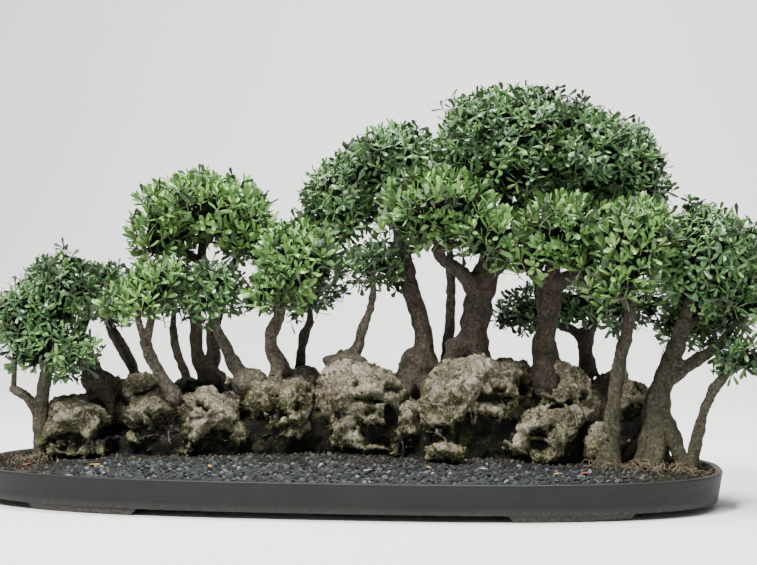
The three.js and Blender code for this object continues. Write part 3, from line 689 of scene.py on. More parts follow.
def limestone_finish(sizes):
    paint = Finish("limestone", 0.92, 0.25)
    patches, _, specks, height = paint.marks(24.0, 260.0, 210.0)
    stains = paint.marks(9.0, 90.0, 95.0)[0]
    pale, brown = sizes.pale[:], sizes.brown[:]
    relief, damp, hollow = (paint.attribute(name) for name in ("relief", "damp", "hollow"))
    rosy = paint.noise(paint.place, 14.0, 3.0)
    lichen = paint.noise(paint.place, 31.0, 5.0, 0.75)
    rough = paint.noise(paint.place, 150.0, 6.0, 0.8)
    grain = paint.noise(paint.place, 300.0, 5.0, 0.8)
    upward = paint.give("ShaderNodeNewGeometry", output="Normal").part("Z")
    fringe = lichen.between(0.4, 0.44) * lichen.between(0.5, 0.46)
    shady = paint.place.part("X").between(-0.1, -0.3) * rosy.between(0.42, 0.56)
    paint.coats = paint.mixed(patches, tinted(pale, 0.6), tinted(pale, 1.1))
    paint.coat(
        (rosy.between(0.44, 0.6, 0.0, 0.6), (0.42, 0.285, 0.225)),
        (stains.between(0.35, 0.8, 0.0, 0.62), brown),
        # Painted shade: darker where the weathering sinks the surface in; paler where it stands out.
        (relief.between(0.1, -0.7) * 0.8, tinted(brown, 0.4)),
        (relief.between(0.0, 0.45) * 0.4, tinted(pale, 1.35)),
        (rough.between(0.5, 0.38, 0.0, 0.75), tinted(brown, 0.35)),
        (rough.between(0.56, 0.68, 0.0, 0.6), tinted(pale, 1.5)),
        (specks * 0.5, tinted(brown, 0.3)),
        # Painted shade: faces that turn downwards are darkened.
        (upward.between(0.05, -0.65, 0.0, 0.7), tinted(brown, 0.2)),
        (lichen.between(0.45, 0.53) * damp * 0.85, (0.085, 0.092, 0.03)),
        (fringe * (damp * 0.6), (0.2, 0.215, 0.085)),
        (lichen.between(0.53, 0.6) * damp * 0.85, (0.02, 0.022, 0.01)),
        (shady * 0.6, (0.055, 0.058, 0.026)),
        (hollow.between(0.02, 0.3) * rough.between(0.35, 0.6), (0.15, 0.155, 0.05)),
        # Near black in the deep hollows: partly earth, partly painted shade.
        (hollow.between(0.2, 0.6), sizes.shade[:]),
        (grain.between(0.48, 0.36, 0.0, 0.65), tinted(brown, 0.3)),
        (grain.between(0.54, 0.66, 0.0, 0.5), tinted(pale, 1.5)),
    )
    return paint.done(rough * 3.0 + height, 0.9, 2.2)


def bark_finish(name, bark, furrow):
    paint = Finish(name, 0.85, 0.3)
    patches, mottle, specks, height = paint.marks(42.0, 420.0, 260.0)
    along = paint.place.stretched((1, 1, 0.24))
    fibres = paint.noise(along, 420.0, 5.0, 0.7)
    furrows = paint.noise(along, 150.0, 3.0, 0.6, Distortion=1.2)
    rings = paint.noise(paint.place.stretched((0.35, 0.35, 1)), 210.0, 2.0)
    crust = paint.noise(paint.place, 95.0, 4.0, 0.7)
    grain = paint.noise(paint.place, 260.0, 4.0, 0.75)
    fine = paint.noise(paint.place, 520.0, 4.0, 0.8)
    mossy_foot = paint.place.part("Z").between(0.19, 0.08) * mottle.between(0.3, 0.8)
    paint.coats = paint.mixed(patches, tinted(bark, 0.72), tinted(bark, 1.22))
    paint.coat(
        (furrows.between(0.5, 0.36, 0.0, 0.75), tinted(furrow, 0.5)),
        (fibres.between(0.52, 0.75, 0.0, 0.5), tinted(bark, 1.6)),
        (rings.between(0.57, 0.66, 0.0, 0.35), tinted(furrow, 0.7)),
        (specks * 0.35, tinted(bark, 0.4)),
        (mossy_foot * 0.55, (0.075, 0.078, 0.028)),
        (crust.between(0.55, 0.66, 0.0, 0.5), tinted(bark, 2.4)),
        (grain.between(0.48, 0.38, 0.0, 0.8), tinted(furrow, 0.35)),
        (grain.between(0.55, 0.66, 0.0, 0.7), tinted(bark, 2.5)),
    )
    return paint.done(fine * 1.4 + (fibres * 0.8 + (furrows * 2.0 + height)), 0.9, 1.6)


def leaf_finish(name, sizes, brightness):
    """A leaf with a pale midrib, side veins, a paler underside and a tone of its own."""
    paint = Finish(name, 0.3, 0.5)
    kinds = ("across", "along", "tone", "below", "stem")
    across, along, tone, below, stem = (paint.attribute(f"leaf_{kind}") for kind in kinds)
    shoot, inner = paint.attribute("shoot_tone"), paint.attribute("shoot_inner")
    across = abs(across)
    both = tone * 0.6 + shoot * 0.4
    # Painted light and shade, partly each leaf's own tone: a leaf lies between the dark and the bright colour
    # by its tone, its shoot's tone and its head's brightness.
    lit = paint.maths("ADD", both * 1.6, brightness - 0.8, clamp=True)
    newest = (both + 0.3 * (brightness - 0.5)).between(0.72, 0.86)
    patches = paint.noise(paint.place, 160.0, 3.0)
    veins = paint.maths("SINE", (along - across * 0.18) * 52.0).between(0.82, 1.0) * 0.22
    rib = across.between(0.16, 0.03)
    paint.coats = paint.mixed(lit, sizes.dark[:], sizes.bright[:])
    paint.coat(
        (newest * 0.75, sizes.young[:]),
        (patches.between(0.4, 0.7, 0.0, 0.3), tinted(sizes.dark, 0.8)),
        (veins, tinted(sizes.young, 0.85)),
        (rib * 0.6, sizes.young[:]),
        (below * 0.5, (0.13, 0.24, 0.07)),
        (stem, (0.17, 0.15, 0.07)),
        # Painted shade: the inner shoots are made near black.
        (inner * 0.82, (0.006, 0.016, 0.007)),
    )
    dull = paint.maths("MAXIMUM", paint.maths("MAXIMUM", below, inner), stem)
    paint.feed(paint.shader["Roughness"], dull * 0.35 + tone.between(0, 1, 0.16, 0.34))
    return paint.done(veins + rib * -0.4, 0.5, 0.5)


def shade_finish():
    paint = Finish("inner_shade", 1.0, 0.0)
    paint.patches(120.0, 0.4, 0.6, (0.002, 0.004, 0.002), (0.009, 0.016, 0.007), 4.0)
    return paint.done()


def moss_finish(sizes):
    paint = Finish("moss", 0.95, 0.15)
    paint.patches(40.0, 0.38, 0.62, tinted(sizes.moss, 0.35), sizes.moss[:])
    paint.coat((paint.attribute("moss_tip").between(0.3, 1.0, 0.0, 0.6), tinted(sizes.moss, 1.9)))
    return paint.done()


def straw_finish(sizes):
    paint = Finish("dry_fibre", 0.8, 0.25)
    paint.patches(90.0, 0.35, 0.65, tinted(sizes.straw, 0.4), sizes.straw[:])
    return paint.done(paint.noise(paint.place, 500.0), 0.4, 0.5)


def fallen_leaf_finish():
    paint = Finish("fallen_leaf", 0.6, 0.35)
    tone = paint.attribute("leaf_tone")
    spots = paint.noise(paint.place, 260.0, 3.0)
    paint.coats = paint.mixed(tone.between(0.3, 0.35), (0.62, 0.3, 0.02), (0.42, 0.1, 0.06))
    paint.coat(
        (tone.between(0.62, 0.66), (0.5, 0.34, 0.25)), (spots.between(0.5, 0.7, 0.0, 0.7), (0.16, 0.07, 0.03))
    )
    return paint.done()


def floor_finish(sizes):
    paint = Finish("floor", 0.85, 0.2)
    paint.patches(2.0, 0.3, 0.7, tinted(sizes.floor, 0.985), sizes.floor[:])
    return paint.done()


# ---------------------------------------------------------------- meshes


def linked(name, data):
    """A new object in the scene."""
    made = bpy.data.objects.new(name, data)
    bpy.context.collection.objects.link(made)
    return made


def new_piece(name, mesh, replaced=None):
    """Names a finished mesh as a piece of the planting, which may stand for a node."""
    piece = linked(name, mesh)
    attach(piece, "root")
    if replaced:
        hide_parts(replaced)


def dressed(mesh, finish=None, smooth=True, sharp=None):
    """A mesh in its finish, shaded flat or smooth, with its edges over an angle in degrees kept sharp."""
    if finish:
        mesh.materials.clear()
        mesh.materials.append(finish)
    mesh.polygons.foreach_set("use_smooth", [smooth] * len(mesh.polygons))
    if sharp:
        mesh.set_sharp_from_angle(angle=math.radians(sharp))
    return mesh


def mesh_of(name, made, finish=None, smooth=True):
    mesh = bpy.data.meshes.new(name)
    made.to_mesh(mesh)
    made.free()
    return dressed(mesh, finish, smooth)


def copied(*names):
    """The meshes of some nodes as one bmesh, with their doubles merged."""
    made = bmesh.new()
    for name in names:
        made.from_mesh(NODES[name].data)
    bmesh.ops.remove_doubles(made, verts=made.verts, dist=MERGED)
    for layer in list(made.loops.layers.uv.values()):
        made.loops.layers.uv.remove(layer)
    return made


def shaped_by(name, source, steps):
    """The mesh that modifiers of (kind, settings) make of another. A tree's inputs are set by identifier."""
    carrier = linked(name, source)
    for kind, settings in steps:
        modifier = carrier.modifiers.new(kind.lower(), kind)
        if kind == "NODES":
            modifier.node_group = settings["tree"]
            for item in settings["tree"].interface.items_tree:
                if item.in_out == "INPUT" and item.name in settings:
                    modifier[item.identifier] = settings[item.name]
        else:
            for key, value in settings.items():
                setattr(modifier, key, value)
    bpy.context.view_layer.update()
    evaluated = carrier.evaluated_get(bpy.context.evaluated_depsgraph_get())
    made = bpy.data.meshes.new_from_object(evaluated)
    made.name = name
    bpy.data.objects.remove(carrier)
    return made


def remeshed(size, smooth=False):
    return "REMESH", {"mode": "VOXEL", "voxel_size": size, "use_smooth_shade": smooth}


def smoothed(times):
    return "SMOOTH", {"factor": 0.5, "iterations": times}


def pushed(distance, mid_level=0.0, **more):
    """A step that moves the surface outwards, or inwards where the distance is below 0."""
    return "DISPLACE", {"strength": distance, "mid_level": mid_level, **more}


def roughened(name, depth, grain):
    """A step that makes the surface uneven."""
    texture = bpy.data.textures.new(name, "CLOUDS")
    texture.noise_scale = grain
    return pushed(depth, 0.5, texture=texture, texture_coords="LOCAL")


def joined_mesh(name, parts):
    """One mesh of several, with their materials and attributes kept."""
    carriers = [linked("part", part) for part in parts]
    with bpy.context.temp_override(active_object=carriers[0], selected_editable_objects=carriers):
        bpy.ops.object.join()
    mesh = carriers[0].data
    mesh.name = name
    bpy.data.objects.remove(carriers[0])
    return mesh


def discard(kinds):
    """Removes a collection of shapes that have been scattered."""
    for kind in list(kinds.objects):
        bpy.data.objects.remove(kind)
    bpy.data.collections.remove(kinds)


def place_of(x, y, z):
    return Vector((x * MM + TRAY_MIDDLE, y * MM, z * MM))


def knots_of(route):
    return [(place_of(x, y, z), radius * MM) for x, y, z, radius in route]


def heading(angle, rise=0.0):
    return Vector((math.cos(angle), math.sin(angle), rise))


def stray(chance, rise=0.0, spread=1.0):
    """A random direction. The rise and its spread make it lean up."""
    return Vector((chance.gauss(0, 1), chance.gauss(0, 1), chance.gauss(rise, spread)))


def ball(made, x, y, z, reach):
    """Adds a ball to a bmesh, with its own reach along x, y and z in metres."""
    shape = Matrix.Translation(place_of(x, y, z)) @ Matrix.Diagonal((*reach, 1))
    return bmesh.ops.create_icosphere(made, subdivisions=3, radius=1.0, matrix=shape)["verts"]


def skin(made, rings, capped=True):
    """Faces between each ring of corners and the next, and over both ends."""
    for lower, upper in zip(rings, rings[1:]):
        for side in range(len(lower)):
            after = (side + 1) % len(lower)
            made.faces.new((lower[side], lower[after], upper[after], upper[side]))
    if capped:
        made.faces.new(list(reversed(rings[0])))
        made.faces.new(rings[-1])


def tube(made, route, sides, bulge=None):
    """A closed tube along a route of (place, radius). bulge(ring, side) scales a corner's radius."""
    points, radii = zip(*route)
    rings = []
    across = None
    for index, point in enumerate(points):
        along = (points[min(index + 1, len(points) - 1)] - points[max(index - 1, 0)]).normalized()
        if across is None:
            across = along.cross(Vector((0.3, 1, 0.1))).normalized()
        across = (across - along * across.dot(along)).normalized()
        aside = along.cross(across)
        ring = []
        for side in range(sides):
            angle = 2 * math.pi * side / sides
            reach = radii[index] * (bulge(index, side) if bulge else 1)
            ring.append(made.verts.new(point + (across * math.cos(angle) + aside * math.sin(angle)) * reach))
        rings.append(ring)
    skin(made, rings, capped=False)
    for ring, point, inner, radius in (
        (rings[0][::-1], points[0], points[1], radii[0]),
        (rings[-1], points[-1], points[-2], radii[-1]),
    ):
        tip = made.verts.new(point + (point - inner).normalized() * radius * 0.6)
        for side in range(sides):
            made.faces.new((ring[side], ring[(side + 1) % sides], tip))


def smooth_route(knots, step=3 * MM):
    """A route with points (place, radius) every step along a smooth curve through its knots."""
    ends = [knots[0], *knots, knots[-1]]
    route = []
    for four in zip(ends, ends[1:], ends[2:], ends[3:]):
        count = max(1, round((four[2][0] - four[1][0]).length / step))
        for i in range(count):
            t = i / count
            weights = (
                -0.5 * t**3 + t**2 - 0.5 * t,
                1.5 * t**3 - 2.5 * t**2 + 1,
                -1.5 * t**3 + 2 * t**2 + 0.5 * t,
                0.5 * t**3 - 0.5 * t**2,
            )
            place = sum((knot[0] * weight for knot, weight in zip(four, weights)), Vector())
            route.append((place, sum(knot[1] * weight for knot, weight in zip(four, weights))))
    return [*route, knots[-1]]


def surface_of(meshes):
    """The surface of some meshes, for finding places on it."""
    made = bmesh.new()
    for mesh in meshes:
        made.from_mesh(mesh)
    surface = BVHTree.FromBMesh(made)
    made.free()
    return surface


def worn_stones():
    return [o.data for o in bpy.data.objects if o.name.startswith("weathered_")]


# ---------------------------------------------------------------- tray

HALF_LENGTH = (TRAY_HIGH.x - TRAY_LOW.x) / 2
HALF_WIDTH = (TRAY_HIGH.y - TRAY_LOW.y) / 2
FLOOR_THICKNESS = 8 * MM
# How wide the bend is between the wall and the floor.
FLOOR_BEND = 3 * MM
# The drain holes, in millimetres from the tray's middle, and the drill that cuts them.
DRAINS = (-260, 0, 260)
DRAIN_RADIUS = 14 * MM
DRILL_LENGTH, DRILL_HEIGHT = 40 * MM, 14 * MM
# A foot's start and end along the tray, its depth, how far it stands behind the wall, and its divisions.
FOOT_START, FOOT_END, FOOT_DEPTH = 230 * MM, 382 * MM, 24 * MM
FOOT_SETBACK = 1.5 * MM
FOOT_STEPS = 14
# From the ground up: the height of a foot's ring, and how far it is drawn in at its ends and its sides.
FOOT_RINGS = ((0, 7, 1.2), (1.2, 5.8, 0), (8, 0, 0), (12, 0, 0))


def tray_outline(sizes, inset):
    """The plan at an inset from the rim, as (x, y)."""
    power = 2 / sizes.squareness
    outline = []
    for index in range(sizes.sectors):
        angle = 2 * math.pi * index / sizes.sectors
        c, s = math.cos(angle), math.sin(angle)
        x = (HALF_LENGTH - inset) * math.copysign(abs(c) ** power, c)
        y = (HALF_WIDTH - inset) * math.copysign(abs(s) ** power, s)
        outline.append((x + TRAY_MIDDLE, y))
    return outline


def tray_body(sizes):
    """The shell of the tray: its profile of (inset, height) with round edges, turned along its plan."""
    rim, foot, bend = TRAY_HIGH.z, sizes.foot_height, sizes.rim_round
    slope = sizes.taper / (rim - foot)
    floor = foot + FLOOR_THICKNESS
    turns = [(1 - math.sin(turn), 1 - math.cos(turn)) for turn in (math.radians(a) for a in (0, 30, 60, 90))]
    lower = [(sizes.taper + bend * s - slope * bend * c, foot + bend * c) for s, c in turns]
    outer = [(bend * c, rim - bend * s) for s, c in turns]
    inner = [(sizes.wall - bend * c, rim - bend * s) for s, c in reversed(turns)]
    walls = [(slope * (rim - z), z) for z in (22 * MM, rim - 8 * MM, rim - 4 * MM)]
    profile = [*lower, *walls, *outer, *inner]
    profile += [(sizes.wall + slope * (rim - z), z) for z in (rim - 8 * MM, floor + FLOOR_BEND)]
    profile += [(sizes.wall + slope * (rim - floor) + FLOOR_BEND, floor)]
    made = bmesh.new()
    skin(made, [[made.verts.new((x, y, z)) for x, y in tray_outline(sizes, inset)] for inset, z in profile])
    return made


def tray_foot(sizes, side_x, side_y):
    """One foot: a slanted block that follows the wall, with its lower edges rounded off."""
    inset = sizes.taper + FOOT_SETBACK
    power = sizes.squareness
    middle = (FOOT_START + FOOT_END) / 2
    made = bmesh.new()
    rings = []
    for height, pull, inward in FOOT_RINGS:
        ring = []
        for back in (False, True):
            for i in range(FOOT_STEPS, -1, -1) if back else range(FOOT_STEPS + 1):
                x = FOOT_START + (FOOT_END - FOOT_START) * i / FOOT_STEPS
                y = (HALF_WIDTH - inset) * (1 - (x / (HALF_LENGTH - inset)) ** power) ** (1 / power)
                x += (middle - x) / (middle - FOOT_START) * pull * MM
                y = y - FOOT_DEPTH + inward * MM if back else y - inward * MM
                ring.append(made.verts.new((side_x * x + TRAY_MIDDLE, side_y * y, height * MM)))
        rings.append(ring)
    skin(made, rings)
    bmesh.ops.recalc_face_normals(made, faces=made.faces)
    return made


class BONSAI_OT_tray(Operator):
    """Makes the long stoneware tray with its four feet and three drain holes"""

    bl_idname = "bonsai.tray"
    bl_label = "Tray"

    def execute(self, context):
        sizes = context.scene.bonsai_tray
        tools = []
        cylinder = {"radius1": DRAIN_RADIUS, "radius2": DRAIN_RADIUS, "depth": DRILL_LENGTH}
        for x in DRAINS:
            drill = bmesh.new()
            bmesh.ops.create_cone(drill, cap_ends=True, segments=32, **cylinder)
            bmesh.ops.translate(drill, verts=drill.verts, vec=(x * MM + TRAY_MIDDLE, 0, DRILL_HEIGHT))
            tools.append((drill, "DIFFERENCE"))
        tools += [(tray_foot(sizes, x, y), "UNION") for x in (-1, 1) for y in (-1, 1)]
        steps = []
        for made, operation in tools:
            tool = linked("tool", mesh_of("tool", made))
            steps.append(("BOOLEAN", {"object": tool, "operation": operation, "solver": "EXACT"}))
        mesh = shaped_by("stoneware_tray", mesh_of("tray_shell", tray_body(sizes)), steps)
        for _, settings in steps:
            bpy.data.objects.remove(settings["object"])
        new_piece("stoneware_tray", dressed(mesh, stoneware_finish(sizes), sharp=38), "tray")
        return {"FINISHED"}


class BONSAI_OT_soil(Operator):
    """Gives the soil its finish: it fills the tray under the gravel"""

    bl_idname = "bonsai.soil"
    bl_label = "Soil"

    def execute(self, context):
        for slot in NODES["soil"].material_slots:
            slot.material = soil_finish()
        return {"FINISHED"}


# ---------------------------------------------------------------- gravel

# A grain whose point has a stone above it within this height is left out.
CLEAR_HEIGHT = 5 * MM
# The tone of the bed between the grains, on the scale of grain_tone.
BED_TONE = 0.05
GRAIN_SHAPES = 6


def gravel_grains(radius):
    """Crushed grains of several shapes, as a collection to scatter."""
    kinds = bpy.data.collections.new("gravel_grains")
    for index in range(GRAIN_SHAPES):
        chance = random.Random(100 + index)
        made = bmesh.new()
        bmesh.ops.create_icosphere(made, subdivisions=1, radius=1.0)
        stretch = Vector((1.0, chance.uniform(0.65, 0.95), chance.uniform(0.5, 0.8)))
        for vert in made.verts:
            swell = chance.uniform(0.72, 1.12)
            vert.co = Vector(a * b for a, b in zip(vert.co * swell, stretch))
        mesh = mesh_of("grain", made, smooth=False)
        mesh.transform(Matrix.Scale(radius, 4))
        kinds.objects.link(bpy.data.objects.new(f"grain_{index}", mesh))
    return kinds


def gravel_tree():
    """Scatters grains over the gravel's top, clear of the stones, each with a tone of its own."""
    inputs = {"Surface": "Geometry", "Shapes": "Collection", "Clear Of": "Object", "Spacing": 0.005}
    inputs |= {"Least Size": 0.55, "Most Size": 1.4, "Seed": 1, "Finish": "Material"}
    tree = Group("scattered_gravel", inputs)
    given, seed = tree.given, tree.given["Seed"]
    density = tree.field("Normal").part("Z").between(0.35, 0.6)
    points, _ = tree.spread(given["Surface"], given["Spacing"], 120000.0, density, seed)
    inputs = {"Object": given["Clear Of"]}
    target = tree.give("GeometryNodeObjectInfo", inputs, "Geometry", transform_space="ORIGINAL")
    inputs = {"Target Geometry": target, "Ray Direction": (0, 0, 1), "Ray Length": CLEAR_HEIGHT}
    covered = tree.give("GeometryNodeRaycast", inputs, "Is Hit")
    kept = tree.give("GeometryNodeDeleteGeometry", {"Geometry": points, "Selection": covered})
    turn = tree.random((-3.2, -3.2, -3.2), (3.2, 3.2, 3.2), seed + 1)
    size = tree.random(given["Least Size"], given["Most Size"], seed + 2)
    placed = tree.instances(kept, tree.shapes(given["Shapes"]), turn, size)
    return tree.whole(tree.stored(placed, "INSTANCE", grain_tone=tree.random(0.0, 1.0, seed + 3)))


class BONSAI_OT_gravel(Operator):
    """Spreads the crushed gravel over the soil, clear of the stones"""

    bl_idname = "bonsai.gravel"
    bl_label = "Gravel"

    def execute(self, context):
        sizes = context.scene.bonsai_gravel
        finish = gravel_finish(sizes)
        bed = copied("gravel")
        bmesh.ops.subdivide_edges(bed, edges=bed.edges, cuts=1, use_grid_fill=True)
        bmesh.ops.triangulate(bed, faces=bed.faces)
        tone = bed.verts.layers.float.new("grain_tone")
        for vert in bed.verts:
            vert[tone] = BED_TONE
        bed = mesh_of("gravel_bed", bed, finish, smooth=False)
        kinds = gravel_grains(sizes.grain)
        target = linked("stones_target", mesh_of("stones_target", copied(*STONES)))
        inputs = {
            "tree": gravel_tree(),
            "Shapes": kinds,
            "Clear Of": target,
            "Spacing": sizes.spacing,
            "Seed": sizes.seed,
            "Finish": finish,
        }
        grains = shaped_by("gravel_grains", bed.copy(), [("NODES", inputs)])
        new_piece("gravel_layer", joined_mesh("gravel_layer", [bed, grains]), "gravel")
        discard(kinds)
        bpy.data.objects.remove(target)
        return {"FINISHED"}


# ---------------------------------------------------------------- stones and earth

# The length across a stone's box from which its lumps and hollows have their full depth.
LARGE_STONE = 0.17
# How far the stones are swollen to close their clefts, in millimetres.
SWELL = 13


def weathering_tree():
    """Wears a stone: lumps, creases, pits and deep hollows. Stores where it is hollow and damp."""
    inputs = {"Stone": "Geometry", "Lumps": 0.006, "Ridges": 0.006, "Hollows": 0.015, "Pits": 0.002}
    inputs |= {"Caves": 1.0, "Base": 0.05, "Top": 0.15, "Finish": "Material"}
    tree = Group("weathered_stone", inputs)
    given = tree.given
    place, normal = tree.field("Position"), tree.field("Normal")
    rise = place.part("Z").between(given["Base"], given["Top"])
    wander = tree.give("ShaderNodeTexNoise", {"Vector": place, "Scale": 30.0, "Detail": 2.0}, "Color")
    strayed = place.moved(wander.moved((-0.5, -0.5, -0.5)).scaled(0.03))
    squat = strayed.stretched((1, 1, 1.5))
    lumps = tree.noise(strayed, 21.0, 3.0) - 0.54
    lumps = tree.maths("SUBTRACT", 0.42, tree.cells(squat, 24.0)) * 0.6 + lumps
    crease = abs(tree.noise(strayed, 30.0, 5.0, 0.66) - 0.5).between(0.0, 0.07, -1.0, 0.0)
    caves = (rise * -0.27 + tree.noise(squat, 24.0, 3.0, 0.6)).between(0.4, 0.46, kind="SMOOTHSTEP")
    made = (tree.noise(place, 60.0, 4.0, 0.65) - 0.5) * 2.6 + tree.named("cave")
    hollow = tree.maths("MAXIMUM", caves * given["Caves"], made.between(0.0, 0.3, kind="SMOOTHSTEP"))
    hollow = hollow * normal.part("Z").between(0.8, 0.45)
    pits = tree.cells(place, 118.0).between(0.1, 0.4, -1.0, 0.0)
    pits = pits * tree.noise(place, 42.0, 2.0).between(0.4, 0.56)
    fine = tree.noise(place, 110.0, 5.0, 0.74) - 0.5
    depth = tree.maths("MINIMUM", crease * given["Ridges"] + lumps * 2.0 * given["Lumps"], 0.004)
    depth = pits * given["Pits"] + depth
    depth = fine * (given["Pits"] * 3.4) + depth
    depth = hollow * -1.0 * given["Hollows"] + depth
    damp = rise.between(0.95, 0.3, 0.35, 1.0)
    relief = tree.maths("DIVIDE", depth, 0.008)
    stored = tree.stored(given["Stone"], "POINT", hollow=hollow, damp=damp, relief=relief)
    return tree.finished(tree.offset(stored, normal, depth))


def add_hollows(mesh):
    """Stores how deep each corner of a stone lies within one of the hollows."""
    places = np.empty(len(mesh.vertices) * 3)
    mesh.vertices.foreach_get("co", places)
    places = places.reshape(-1, 3) / MM
    cave = np.full(len(places), -9.0)
    for x, z, wide, high in HOLLOWS:
        away = ((places[:, 0] - TRAY_MIDDLE / MM - x) / wide) ** 2 + ((places[:, 2] - z) / high) ** 2
        cave = np.maximum(cave, 1 - away)
    mesh.attributes.new("cave", "FLOAT", "POINT").data.foreach_set("value", cave.clip(-2, 1))


class BONSAI_OT_stones(Operator):
    """Weathers each limestone of the ridge"""

    bl_idname = "bonsai.stones"
    bl_label = "Stones"

    def execute(self, context):
        sizes = context.scene.bonsai_stone
        finish = limestone_finish(sizes)
        tree = weathering_tree()
        for name in sorted(STONES):
            low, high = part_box(name)
            smooth = name in SMOOTH_STONES
            small = min(1.0, (high - low).length / LARGE_STONE)
            sharp = small * (0.75 if smooth else 1.0)
            worn = {
                "tree": tree,
                "Lumps": sizes.lumps * sharp,
                "Ridges": sizes.ridges * sharp,
                "Hollows": sizes.hollows * small,
                "Pits": sizes.pits,
                "Caves": 0.5 if smooth else 0.9,
                "Base": low.z,
                "Top": high.z,
                "Finish": finish,
            }
            block = shaped_by(name, mesh_of(name, copied(name)), [remeshed(sizes.voxel, True), smoothed(6)])
            add_hollows(block)
            mesh = shaped_by(f"weathered_{name}", block, [("NODES", worn)])
            new_piece(f"weathered_{name}", dressed(mesh), name)
        return {"FINISHED"}


class BONSAI_OT_muck(Operator):
    """Packs dark earth into the clefts between the stones"""

    bl_idname = "bonsai.muck"
    bl_label = "Packed earth"

    def execute(self, context):
        made = copied(*STONES)
        for x, y, z, *reach in HEAPS:
            ball(made, x, y, z + 2 * SWELL, [(r + SWELL) * MM for r in reach])
        # The stones are swollen until their clefts close, and then drawn in again by more than that.
        closing = [remeshed(6 * MM), smoothed(4), pushed(SWELL * MM), remeshed(5 * MM), smoothed(8)]
        closed = shaped_by("packed_earth", mesh_of("packed_earth", made), closing)
        drawing_in = [
            pushed(-2 * SWELL * MM),
            remeshed(6.5 * MM, True),
            smoothed(3),
            roughened("packed_earth", 0.02, 0.015),
            pushed(-2 * SWELL * MM, direction="Z"),
        ]
        mesh = shaped_by("packed_earth", closed, drawing_in)
        new_piece("packed_earth", dressed(mesh, soil_finish()))
        return {"FINISHED"}


# ---------------------------------------------------------------- trees

ROOT_STEPS = 12
THICKEST_ROOT, THINNEST_ROOT = 6.5 * MM, 1.2 * MM
# A root ends where its next place on the ground is farther away than this.
ROOT_SPAN = 18 * MM
# A foot thicker than this stands on strong roots, so its stem starts slim between them.
THICK_FOOT = 30 * MM
# How many corners run round a stem, a strong root, a creeping root and a twig.
STEM_SIDES, STRONG_SIDES, ROOT_SIDES, TWIG_SIDES = 18, 12, 10, 6
STRONG_BURLS = 0.25
LIMB_STEP = 12 * MM
# Radii of a twig at its start, at most, and at its tip, and the same of the small ones at its sides.
THICKEST_TWIG, TWIG_TIP = 2.3 * MM, 0.9 * MM
SIDE_TWIG, SIDE_TIP = 1.2 * MM, 0.7 * MM


def root_route(foot, radius, angle, chance, ground):
    """A root that leaves the trunk like a buttress and creeps down over the stones or the gravel."""
    aim = heading(angle, -0.15).normalized()
    level = Vector((aim.x, aim.y, 0))
    width = min(radius * chance.uniform(0.22, 0.36), THICKEST_ROOT)
    route = [
        (foot + level * radius * 0.35 + UP * radius * chance.uniform(1.1, 1.6), width),
        (foot + level * radius * 0.62 + UP * radius * 0.5, width * 1.15),
    ]
    reach = radius * chance.uniform(2.0, 3.4)
    for i in range(1, ROOT_STEPS + 1):
        here = route[-1][0]
        aim = (aim + stray(chance) * 0.2 - UP * 0.15).normalized()
        spot, normal, _, away = ground.find_nearest(here + aim * reach / ROOT_STEPS)
        if away > ROOT_SPAN or normal.z < -0.1:
            break
        thick = max(width * (1 - 0.75 * i / ROOT_STEPS), THINNEST_ROOT)
        place = spot + normal * thick * 0.3
        aim = (aim * 0.6 + (place - here).normalized() * 0.4).normalized()
        route.append((place, thick))
    for _ in range(3):
        inner = [((a[0] + b[0] * 2 + c[0]) / 4, b[1]) for a, b, c in zip(route, route[1:], route[2:])]
        route = [route[0], *inner, route[-1]]
    return route


def stem_route(stem, first):
    """A stem's route. The first starts slimmer, as roots and mounds carry it, and more so if it is thick."""
    knots = knots_of(stem)
    if first:
        foot, radius = knots[0]
        slim = min(radius * 0.86, knots[1][1] * 1.35) * (0.4 if radius > THICK_FOOT else 1.0)
        knots[0:1] = [(foot - UP * radius * 0.7, slim * 1.1), (foot + UP * radius * 0.2, slim)]
    return smooth_route(knots)


def limb_knots(stems, mass):
    """From the tip of a stem into the middle of a mass of leaves."""
    x, y, z, *_, stem = mass
    (before, _), (start, radius) = knots_of(stems[stem][-2:])
    back = (before - start).normalized()
    end = place_of(x, y, z)
    middle = start.lerp(end, 0.5) + (end - start).cross(UP) * 0.12
    start += back * radius * 0.8
    return [(start, radius * 0.92), (middle, radius * 0.66), (end, max(radius * 0.4, 1.6 * MM))]


def swollen(route, seed, burls, sides):
    """How far each corner of a tube stands out: long flutes that turn round the trunk, and burls."""

    def bulge(ring, side):
        point, radius = route[ring]
        angle = 2 * math.pi * side / sides + point.z * 14 + seed
        flute = math.sin(angle * 3) * 0.35 + math.sin(angle * 5 + seed * 2) * 0.2
        lump = noise.noise((point + heading(angle) * radius) * 55 + Vector((seed * 3.7, 0, 0)))
        return 1 + burls * (flute + 1.5 * lump)

    return bulge


def wood_mesh(name, roots, stems, seed, burls, ground):
    """The trunk with its stems, mounds and roots, as overlapping bodies."""
    chance = random.Random(seed)
    made = bmesh.new()
    for index, stem in enumerate(stems):
        route = stem_route(stem, index == 0)
        tube(made, route, STEM_SIDES, swollen(route, seed + index, burls, STEM_SIDES))
    for x, y, z, *reach in MOUNDS.get(name, []):
        middle = place_of(x, y, z)
        for vert in ball(made, x, y, z, [r * MM for r in reach]):
            vert.co += (vert.co - middle) * 0.35 * noise.noise(vert.co * 60)
    for index, root in enumerate(STRONG_ROOTS.get(name, [])):
        route = smooth_route(knots_of(root))
        tube(made, route, STRONG_SIDES, swollen(route, seed + 5 * index, STRONG_BURLS, STRONG_SIDES))
    x, y, z, r = stems[0][0]
    start = chance.uniform(0, 6)
    for index in range(roots):
        angle = start + 2 * math.pi * index / roots + chance.uniform(-0.25, 0.25)
        route = root_route(place_of(x, y, z - 0.35 * r), r * MM, angle, chance, ground)
        if len(route) > 3:
            tube(made, smooth_route(route), ROOT_SIDES)
    return mesh_of(name, made)


